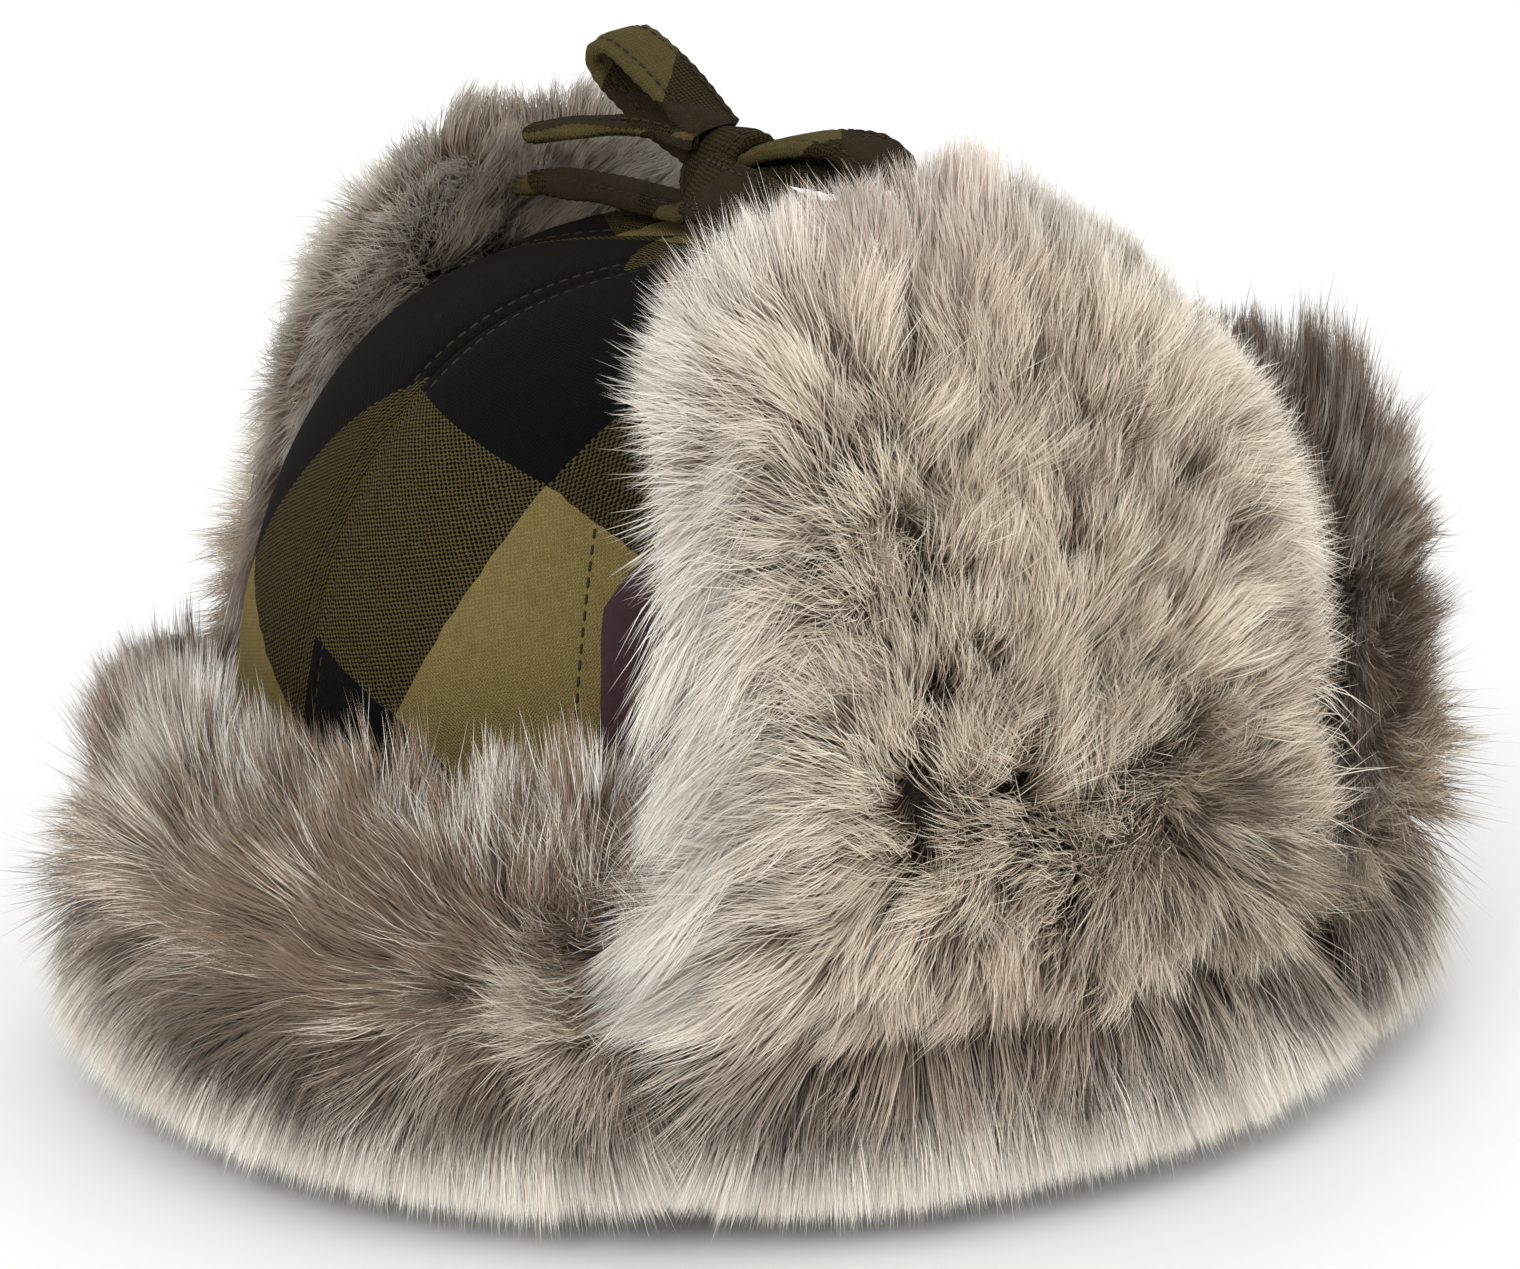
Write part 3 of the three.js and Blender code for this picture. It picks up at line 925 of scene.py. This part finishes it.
def add_knot_core():
    """The gathered cloth inside the knot's wrap."""
    turns, rows = 48, 24
    rises = (np.arange(rows) + 0.5) / rows * math.pi
    turn, rise = np.meshgrid(np.arange(turns) / turns * 2 * math.pi, rises, indexing="ij")
    gather = 1 + 0.07 * np.cos(7 * turn) * np.sin(rise)
    x = 8.2 * np.cos(rise)
    y = 6.4 * np.sin(rise) * np.cos(turn) * gather
    z = 8.2 * np.sin(rise) * np.sin(turn) * gather
    points = ((vectors(x, y, z) + KNOT_CENTRE) * MM).reshape(-1, 3)
    i, k = np.meshgrid(np.arange(turns), np.arange(rows - 1), indexing="ij")
    after = (i + 1) % turns
    faces = [i * rows + k, i * rows + k + 1, after * rows + k + 1, after * rows + k]
    faces = np.stack(faces, -1).reshape(-1, 4)
    ends = []
    for row, flip in ((0, True), (rows - 1, False)):
        ring = np.arange(turns) * rows + row
        for k in range(turns // 2 - 1):
            quad = [ring[k], ring[k + 1], ring[turns - 2 - k], ring[turns - 1 - k]]
            ends.append(quad[::-1] if flip else quad)
    faces = np.concatenate([faces, np.array(ends)])
    uv = points[faces.ravel()][:, [0, 2]] + 0.08
    finish_piece(add_mesh("bow_knot_core", points, faces, uv), TIE_CLOTH, "bow")


add_crown()
add_crown_inside()
add_sweatband()
add_rim_binding()
for flap, face in FLAPS.items():
    add_flap(flap, face)
add_bow()

# ---- Fur ----
STRANDS = 390000
STRANDS_IN_A_PIECE = 39000
STRAND_STEPS = np.array([0.0, 0.36, 0.7, 1.0])
STRAND_LENGTH = 28 * MM
STRAND_WIDTH = 0.27 * MM * 1.0
TUFT, FINE_TUFT = 7 * MM, 2.7 * MM
ROOT_COLOUR = np.array([0.115, 0.084, 0.062])
MIDDLE_COLOUR = np.array([0.47, 0.365, 0.27])
TIP_COLOUR = np.array([0.95, 0.83, 0.675])
PALE_TIP_COLOUR = np.array([0.84, 0.81, 0.74])
# The roll's cream tips, paler than the fur's own cream: painted light where the foot of the fur lies in shade.
HANGING_TIP_PAINTED_LIGHT_COLOUR = np.array([0.97, 0.885, 0.77])
DARK_TIP_COLOUR = np.array([0.29, 0.205, 0.14])
RUSTY_COLOUR = np.array([0.36, 0.20, 0.13])
# The roll's dark band: its dark roots, deepened with painted shadow where the fur above overhangs the parting.
BAND_ROOTS_AND_PAINTED_SHADOW_COLOUR = np.array([0.078, 0.058, 0.044])
PATCHES = Waves(11, 0.075)
FINE_PATCHES = Waves(12, 0.024)
RUST = Waves(13, 0.1)
SWAY = Waves(14, 0.08)
SWAY_UP = Waves(15, 0.08)
FRINGE = 17 * MM  # how far in from an edge its fur turns outwards
LIMIT = (np.array(cad_high) - np.array(cad_low)) * 0.03 + 9 * MM
LIMIT_LOW, LIMIT_HIGH = np.array(cad_low) - LIMIT, np.array(cad_high) + LIMIT
SHARES = {"visor": 0.20, "neck_flap": 0.22, "ear_flap_left": 0.30, "ear_flap_right": 0.19}
INNER_SHARES = {"visor": 0.02, "neck_flap": 0.04, "ear_flap_left": 0.03, "ear_flap_right": 0.11}
INNER_REACH = {"visor": 14 * MM, "neck_flap": 24 * MM, "ear_flap_left": 26 * MM, "ear_flap_right": 44 * MM}
DARKNESS = {"visor": 0.56, "neck_flap": 0.56, "ear_flap_left": 0.07, "ear_flap_right": 0.12}
PATCHINESS = {"visor": 0.42, "neck_flap": 0.36, "ear_flap_left": 0.22, "ear_flap_right": 0.25}
# How far each flap's roots are lightened towards the middle colour: partly the underfur's own mid taupe, partly
# painted light that lifts the shade in the gaps of the pile.
ROOT_LIFT_AND_PAINTED_LIGHT_SHARES = {"visor": 0.0, "neck_flap": 0.05, "ear_flap_left": 0.36, "ear_flap_right": 0.25}


def turned(degrees):
    return np.stack([np.cos(degrees * DEGREE), np.sin(degrees * DEGREE)], -1)


def comb_visor(side, v):
    low = 205 + 50 * smooth(0.55, 0.2, v) - 40 * smooth(-0.1, 0.9, side) * smooth(0.2, 0.6, v)
    share = smooth(0.62, 0.82, v)[:, None]
    lower = turned(mix(low, 182, smooth(-0.3, -0.9, side)))
    return lower * (1 - share) + turned(102 + 0 * v) * share


def comb_neck(side, v):
    share = smooth(0.34, 0.56, v)[:, None]
    level = hump(v, 0.44, 0.12)[:, None]
    return turned(-82 + 12 * side) * (1 - share) + turned(90 - 8 * side) * share + level * turned(20 + 0 * v)


def comb_ear(side, v):
    v = v + 0.05 * np.sin(7 * side + 1) + 0.03 * np.sin(15 * side)
    front = smooth(0.1, 1.0, -side)
    rear = smooth(0.0, 1.0, side)
    share = smooth(0.26, 0.5, v)[:, None]
    level = (hump(v, 0.40, 0.17) * smooth(1.5, -0.5, side))[:, None]
    low, high = turned(250 - 32 * front - 14 * rear), turned(94 + 48 * front - 24 * rear)
    return low * (1 - share) + high * share + 0.95 * level * turned(188 + 0 * v)


COMBS = {"visor": comb_visor, "neck_flap": comb_neck, "ear_flap_left": comb_ear, "ear_flap_right": comb_ear}


def shade(flap, side, v):
    """Broad bands of darker and lighter fur. The lighter fur low on the near ear flap and low on the neck flap
    is painted light, where the fur there lies in shade.
    """
    if flap == "ear_flap_left":
        # Fewer dark tips low on the flap: painted light where the fur there lies in shade.
        foot = 0.06 * (1 - smooth(0.25, 0.5, v))
        return 0.14 * smooth(-0.2, 0.7, side) - 0.1 * smooth(0.2, 0.6, -side) - foot
    if flap == "neck_flap":
        # Lighter low on the neck flap: painted light where the fur there lies in shade.
        return 0.3 * smooth(0.45, 0.7, v) - 0.55 * (1 - smooth(0.35, 0.6, v))
    if flap == "visor":
        return 0.18 * smooth(-0.2, -0.8, side) + 0.45 * hump(v, 0.72, 0.11)
    return 0 * v


def side_fan(flap, side, v):
    """Where a flap's fur fans out sideways: at its free ends, and not where it meets the next flap's fur."""
    if flap == "visor":
        return np.where(side < 0, 1.0, 0.0)
    if flap == "neck_flap":
        return smooth(0.3, 0.6, v)
    return np.where(side < 0, 1.0, 0.55 * smooth(0.5, 0.8, v))


def fringe_length(pile):
    """How much of the full length the fur has: it is short along the tops."""
    side, v, near_side, near_top = pile.side, pile.v, pile.near_side, pile.near_top
    if pile.flap == "visor":
        end = smooth(0.3, 1.0, -side)
        return 1 + near_side * (0.75 - 0.9 * v) - 0.1 * near_top - 0.5 * near_top * end
    if pile.flap == "neck_flap":
        corner = 0.55 * hump(side, 0.5, 0.3) - 0.2
        return 1.22 - 0.54 * smooth(0.3, 0.6, v) + near_top * corner
    if pile.flap == "ear_flap_left":
        rear = smooth(0.3, 1.0, side) * smooth(0.3, 0.5, v)
        return 1 + 0.25 * near_side - 0.45 * rear - near_top * mix(0.42, 0.34, smooth(-0.4, 0.4, side))
    return 1 - 0.36 * smooth(0.45, 0.7, v) - 0.34 * np.maximum(near_top, near_side * smooth(0.25, 0.5, v))


class Tufts:
    """Strands gather to the points of a jittered grid, and share that point's traits."""

    def __init__(self, u, v, face, draw, cell):
        wide, high = max(int(face.width / cell), 2), max(int(face.height / cell), 2)
        jitter = draw.uniform(-0.45, 0.45, (wide + 2, high + 2, 2))
        traits = draw.normal(size=(wide + 2, high + 2, 5))
        chances = draw.random((wide + 2, high + 2))
        best = np.full(len(u), np.inf)
        self.u, self.v = np.zeros(len(u)), np.zeros(len(u))
        self.traits, self.chance = np.zeros((len(u), 5)), np.zeros(len(u))
        column, row = (u * wide).astype(int), (v * high).astype(int)
        for step in range(9):
            i = np.clip(column + step % 3 - 1, -1, wide) + 1
            j = np.clip(row + step // 3 - 1, -1, high) + 1
            centre_u = (i - 0.5 + jitter[i, j, 0]) / wide
            centre_v = (j - 0.5 + jitter[i, j, 1]) / high
            distance = ((centre_u - u) * face.width) ** 2 + ((centre_v - v) * face.height) ** 2
            nearer = distance < best
            best = np.where(nearer, distance, best)
            self.u, self.v = np.where(nearer, centre_u, self.u), np.where(nearer, centre_v, self.v)
            self.traits[nearer] = traits[i, j][nearer]
            self.chance[nearer] = chances[i, j][nearer]


def outer_places(draw, count, face):
    """Places over the flap's face, closer together at its edges and above the roll."""
    u, v = draw.uniform(0, 1, count), draw.uniform(0, 1, count)
    part = draw.random(count)
    depth = draw.random(count) * 0.5 * FRINGE
    at_side = np.where(draw.random(count) < 0.5, depth / face.width, 1 - depth / face.width)
    u = np.where(part < 0.1, at_side, u)
    v = np.where((part > 0.1) & (part < 0.2), 1 - depth / face.height, v)
    foot = 22 * MM / face.height
    v = np.where(v < foot, mix(foot, GROOVE / face.height, v / foot), v)
    return u, v


def inner_places(draw, count, face, reach):
    """Places along the edges of a flap's inner side, and how far each is through the flap's rim."""
    rim = draw.random(count) < 0.35
    depth = np.where(rim, 0.3 * MM, draw.random(count) ** 1.1 * reach)
    at_side = np.where(draw.random(count) < 0.5, depth / face.width, 1 - depth / face.width)
    to_side = draw.random(count) < 0.5
    u = np.where(to_side, at_side, draw.uniform(0, 1, count))
    v = np.where(to_side, draw.uniform(0.3, 1, count), 1 - depth / face.height)
    return u, v, rim * draw.random(count)


class Pile:
    """The strands of one side of a flap."""

    def __init__(self, flap, face, count, inner):
        self.flap, self.face, self.count, self.inner = flap, face, count, inner
        self.draw = np.random.default_rng(sum(map(ord, flap)) + inner)
        if inner:
            self.u, self.v, self.through = inner_places(self.draw, count, face, INNER_REACH[flap])
        else:
            self.u, self.v = outer_places(self.draw, count, face)
        self.tuft = Tufts(self.u, self.v, face, self.draw, TUFT)
        self.fine = Tufts(self.u, self.v, face, self.draw, FINE_TUFT)
        self.stray = self.draw.random(count) < 0.03
        self.point, self.normal, self.across, self.up = flap_frame(face, self.u, self.v)
        self.side = 2 * self.u - 1
        self.to_side = (1 - np.abs(self.side)) / 2 * face.width
        self.to_top = (1 - self.v) * face.height
        self.roll = (1 - smooth(GROOVE - 3 * MM, GROOVE + 1 * MM, self.point[:, 2])) * (not inner)
        self.near_side = hump(self.to_side, 0, FRINGE) * (1 - self.roll)
        self.near_side *= side_fan(flap, self.side, self.v)
        self.near_top = hump(self.to_top, 0, FRINGE)
        self.near_edge = np.maximum(self.near_side, self.near_top)

    def noise(self):
        return self.draw.normal(size=self.count)

    def rooted(self):
        """Where the strands start; those on the inner side stand on the flap's rim and face inwards."""
        if self.inner:
            depth = self.through * pelt_depth(self.u, self.v, self.point) - 0.3 * MM
            self.root = self.point + self.normal * depth[:, None]
            self.normal = self.normal * np.where(self.through > 0.5, 1, -1)[:, None]
        else:
            depth = pelt_depth(self.u, self.v, self.point) - 1.5 * MM
            self.root = self.point + self.normal * depth[:, None]

    def combed(self):
        """Which way the strands lie along the skin."""
        if self.inner:
            way = np.stack([np.sign(self.side) * (self.near_side + 0.25), self.near_top + 0.25], -1)
        else:
            way = COMBS[self.flap](self.side, self.v)
            way = way + 0.2 * np.stack([SWAY(self.point), SWAY_UP(self.point)], -1)
            parted = np.sign(self.side) * hump(self.to_side, 0, 9 * MM)
            hanging = np.stack([0.15 * self.side + 0.8 * parted, -1.3 + 0 * self.v], -1)
            way = mix(way, hanging, self.roll[:, None])
            way = way * (1 - self.near_edge)[:, None]
            way[:, 0] += np.sign(self.side) * self.near_side * 1.5
            way[:, 1] += self.near_top * 1.5
        loose = (1 - 0.75 * self.roll - 0.35 * self.near_edge)[:, None]
        way = way + (0.3 * self.tuft.traits[:, :2] + 0.18 * self.fine.traits[:, :2]) * loose
        way = way + 0.1 * self.draw.normal(size=(self.count, 2))
        self.strength = np.linalg.norm(way, axis=1)
        self.comb = unit(self.across * way[:, :1] + self.up * way[:, 1:])

    def leaned(self):
        """How far the strands lean over, from 0 upright to 1 flat."""
        if self.inner:
            lean = mix(0.82, 0.93, self.through > 0) + 0.05 * self.tuft.traits[:, 2]
        else:
            lean = 0.66 + 0.18 * self.near_edge + 0.2 * self.roll
            lean = lean + (0.09 * self.tuft.traits[:, 2] + 0.05 * self.fine.traits[:, 2]) * (1 - self.roll)
            lean = (lean + 0.05 * self.noise()) * (0.15 + 0.85 * smooth(0.0, 1.1, self.strength))
        return np.clip(lean, 0.06, 0.97)

    def lengths(self):
        length = STRAND_LENGTH * (1 + 0.1 * self.tuft.traits[:, 3] + 0.11 * self.noise())
        length = length * (fringe_length(self) if not self.inner else mix(1.0, 0.5, self.near_edge))
        hanging = (self.root[:, 2] - 1 * MM) * (1.04 + 0.06 * self.noise())
        length = mix(length * np.where(self.stray, 1.15, 1.0), hanging, self.roll)
        return np.clip(length, 8 * MM, 42 * MM)[:, None]

    def gathered(self, t):
        """How far the strands have moved towards the middle of their tufts."""
        shift = 0
        loose = np.where(self.stray, -0.3, 1 - 0.35 * self.roll)
        for tuft, pull, power in ((self.tuft, 0.26, 1.6), (self.fine, 0.72, 1.2)):
            to_u, to_v = (tuft.u - self.u) * self.face.width, (tuft.v - self.v) * self.face.height
            to_tuft = self.across * to_u[:, None] + self.up * (to_v * (1 - 0.8 * self.roll))[:, None]
            shift = shift + to_tuft * (pull * loose)[:, None] * t**power
        return shift

    def grown(self):
        """The points of each strand, from its root to its tip."""
        self.rooted()
        self.combed()
        lean = self.leaned()
        start = np.clip(0.5 * lean - 0.06 + 0.3 * self.near_edge, 0, 0.8)[:, None]
        lean = lean[:, None]
        first = unit(self.normal * (1 - start) + self.comb * start)
        flare = (0.35 * self.fine.chance - 0.1) * self.roll
        last = unit(self.normal * (1 - lean + flare[:, None]) + self.comb * lean)
        wisp = unit(self.draw.normal(size=(self.count, 3))) * (1.0 * MM * (1 - 0.5 * self.roll))[:, None]
        bend = 2.4 * MM * (self.tuft.traits[:, 4] + 0.4 * self.noise()) * (1 - 0.7 * self.roll)
        bend = np.cross(self.comb, self.normal) * bend[:, None]
        length = self.lengths()
        points = []
        for t in STRAND_STEPS:
            at = length * (first * t + (last - first) * (t * t / 2)) + self.gathered(t)
            points.append(at + wisp * math.sin(2.4 * t) + bend * math.sin(2.7 * t))
        points = np.stack(points, 1)
        self.points = self.root[:, None, :] + points * self.reach_limit(points)

    def reach_limit(self, points):
        """The share of each strand's reach that keeps it inside the hat's size and off the floor."""
        low = LIMIT_LOW + np.zeros((self.count, 3))
        rest = 0.6 * MM + 7 * MM * self.fine.chance**2 * self.draw.random(self.count)
        if not self.inner:
            parting = GROOVE + 5 * MM - 11 * MM * self.tuft.chance**0.6 * self.fine.chance**0.5
            rest = np.where(self.root[:, 2] > GROOVE, parting + 1 * MM * self.noise(), rest)
        low[:, 2] = np.minimum(rest, self.root[:, 2] - 1 * MM)
        root = self.root[:, None, :]
        reach = np.where(points > 0, LIMIT_HIGH - root, low[:, None, :] - root)
        share = np.abs(reach) / np.maximum(np.abs(points), 1e-9)
        return np.clip(share.min(axis=(1, 2)), 0.02, 1)[:, None, None]

    def coloured(self):
        """Dark roots and pale tips, with darker tufts between them."""
        patch = 0.5 * PATCHES(self.point * np.array([1, 1, 0.8])) + 0.5 * FINE_PATCHES(self.point)
        share = DARKNESS[self.flap] + PATCHINESS[self.flap] * patch + 0.08 * self.tuft.traits[:, 4]
        # Strands on the flaps' inner sides get fewer dark tips and lighter roots, middles and tips: painted
        # light where the crown and the flaps shade them.
        share = share - 0.16 * self.near_edge - 0.3 * self.inner + shade(self.flap, self.side, self.v)
        chance = np.where(self.draw.random(self.count) < 0.45, self.draw.random(self.count), self.fine.chance)
        dark = chance < np.clip(share, 0.02, 0.92)
        pale = mix(TIP_COLOUR, PALE_TIP_COLOUR, self.near_edge[:, None])
        tip = np.where(dark[:, None], DARK_TIP_COLOUR, pale)
        rusty = np.clip((RUST(self.point) - 0.3) * 0.8, 0, 0.7) * self.draw.random(self.count)
        tip = mix(tip, RUSTY_COLOUR, rusty[:, None])
        root = mix(ROOT_COLOUR, MIDDLE_COLOUR, max(ROOT_LIFT_AND_PAINTED_LIGHT_SHARES[self.flap], 0.75 * self.inner))
        root = root * np.ones((self.count, 1))
        middle = mix(root, MIDDLE_COLOUR, (0.75 - 0.4 * dark + 0.25 * self.inner)[:, None])
        last_but_one = mix(middle, tip, (0.7 + 0.2 * np.maximum(self.near_edge, float(self.inner)))[:, None])
        colours = np.stack([root, middle, last_but_one, tip], 1)
        # The hanging roll is coloured by height: a band of dark roots and painted shadow under the parting, and
        # below it cream tips brightened with painted light.
        level = self.points[:, :, 2] + 2 * MM * (self.tuft.traits[:, 1] + self.noise())[:, None]
        hanging = mix(HANGING_TIP_PAINTED_LIGHT_COLOUR, BAND_ROOTS_AND_PAINTED_SHADOW_COLOUR, smooth(16 * MM, 24 * MM, level)[:, :, None])
        colours = mix(colours, hanging, self.roll[:, None, None])
        tone = (1 + 0.09 * self.noise()) * (1 + 0.08 * self.tuft.traits[:, 3])
        return np.clip(colours * tone[:, None, None], 0.01, 0.97)

    def ribbons(self):
        """The strands' points, the ways of their widths, the skin's normals and their colours."""
        self.grown()
        level = unit(np.cross(unit(self.points[:, -1] - self.points[:, 0]), self.normal))
        other = unit(np.cross(level, self.points[:, -1] - self.points[:, 0]))
        angle = self.draw.uniform(-1.0, 1.0, self.count)[:, None]
        return self.points, level * np.cos(angle) + other * np.sin(angle), self.normal, self.coloured()


def strand_normals(points, wide_way, normal):
    """Shading normals between the strand's own and the skin's, so that the pile shades softly."""
    direction = unit(points[:, 1:] - points[:, :-1])[:, [0, 0, 1, 1, 2, 2, 2]]
    soft = normal[:, None, :] - 0.75 * direction * (direction * normal[:, None, :]).sum(-1, keepdims=True)
    return unit(soft + 0.25 * wide_way[:, None, :] * np.array([-1, 1, -1, 1, -1, 1, 0])[None, :, None])


def strand_cells(count, faces):
    """A small place of its own for each ribbon on a square sheet."""
    cells = math.ceil(math.sqrt(count))
    corner = np.array([[0.1, 0.05], [0.9, 0.05], [0.1, 0.36], [0.9, 0.36], [0.1, 0.7], [0.9, 0.7], [0.5, 0.97]])
    origin = np.stack([np.arange(count) % cells, np.arange(count) // cells], 1)
    return ((origin[:, None, :] + corner) / cells).reshape(-1, 2)[faces.ravel()]


def strand_piece(name, points, wide_way, normal, colours):
    """One mesh of ribbons: two points at each step but the last, where each ribbon ends in one."""
    count = len(points)
    widths = STRAND_WIDTH * np.array([1.0, 0.95, 0.62]) / 2
    ribbon = np.empty((count, 7, 3))
    for step in range(3):
        offset = wide_way * widths[step]
        ribbon[:, 2 * step] = points[:, step] - offset
        ribbon[:, 2 * step + 1] = points[:, step] + offset
    ribbon[:, 6] = points[:, 3]
    outward = (np.cross(wide_way, points[:, 3] - points[:, 0]) * normal).sum(-1)
    ribbon[outward < 0] = ribbon[outward < 0][:, [1, 0, 3, 2, 5, 4, 6]]
    pattern = np.array([[0, 1, 3], [0, 3, 2], [2, 3, 5], [2, 5, 4], [4, 5, 6]])
    faces = ((np.arange(count) * 7)[:, None, None] + pattern).reshape(-1, 3)
    piece = add_mesh(name, ribbon.reshape(-1, 3), faces)
    mesh = piece.data
    layer = mesh.uv_layers.new(name="OFBake")
    layer.data.foreach_set("uv", strand_cells(count, faces).astype(np.float32).ravel())
    tint = mesh.attributes.new("tint", "FLOAT_COLOR", "POINT")
    rgba = np.concatenate([colours[:, [0, 0, 1, 1, 2, 2, 3]], np.ones((count, 7, 1))], 2)
    tint.data.foreach_set("color", rgba.astype(np.float32).ravel())
    soft = strand_normals(points, wide_way, normal)
    mesh.normals_split_custom_set_from_vertices(soft.reshape(-1, 3).astype(np.float32))
    return piece


def add_fur(flap, face):
    outer = Pile(flap, face, int(STRANDS * SHARES[flap]), False).ribbons()
    inner = Pile(flap, face, int(STRANDS * INNER_SHARES[flap]), True).ribbons()
    strands = [np.concatenate(pair) for pair in zip(outer, inner)]
    order = np.argsort(strands[0][:, 0, 2])
    pieces = math.ceil(len(order) / STRANDS_IN_A_PIECE)
    for number, chosen in enumerate(np.array_split(order, pieces)):
        piece = strand_piece(f"{flap}_pile_{number + 1}", *[part[chosen] for part in strands])
        finish_piece(piece, FUR, flap)


for flap, face in FLAPS.items():
    add_fur(flap, face)


# ---- Stage and light ----
FLOOR_REACH = 6


def add_stage():
    corners = np.array([[-1, -1, 0], [1, -1, 0], [1, 1, 0], [-1, 1, 0]], float) * FLOOR_REACH
    floor = add_mesh("floor", corners, [[0, 1, 2, 3]])
    material, tree, shader = new_material("floor")
    shader.inputs["Base Color"].default_value = (0.9, 0.9, 0.9, 1)
    shader.inputs["Roughness"].default_value = 0.9
    floor.data.materials.append(material)
    floor.location.z = -0.5 * MM
    world = bpy.data.worlds.new("studio")
    bpy.context.scene.world = world
    world.use_nodes = True
    world.node_tree.nodes["Background"].inputs[0].default_value = (1, 1, 1, 1)
    world.node_tree.nodes["Background"].inputs[1].default_value = 0.9
    bpy.context.scene.view_settings.view_transform = "Standard"


def add_light(name, place, size, watts):
    light = bpy.data.lights.new(name, "AREA")
    light.size = size
    light.energy = watts
    lamp = bpy.data.objects.new(name, light)
    lamp.location = place
    lamp.rotation_euler = (Vector((0, 0, 0.1)) - Vector(place)).to_track_quat("-Z", "Y").to_euler()
    bpy.context.scene.collection.objects.link(lamp)


add_stage()
add_light("key", (0.9, -1.4, 1.3), 0.9, 16)
add_light("fill", (1.6, 0.6, 0.8), 1.2, 6)
add_light("back", (-1.2, 1.2, 1.2), 1.0, 6)
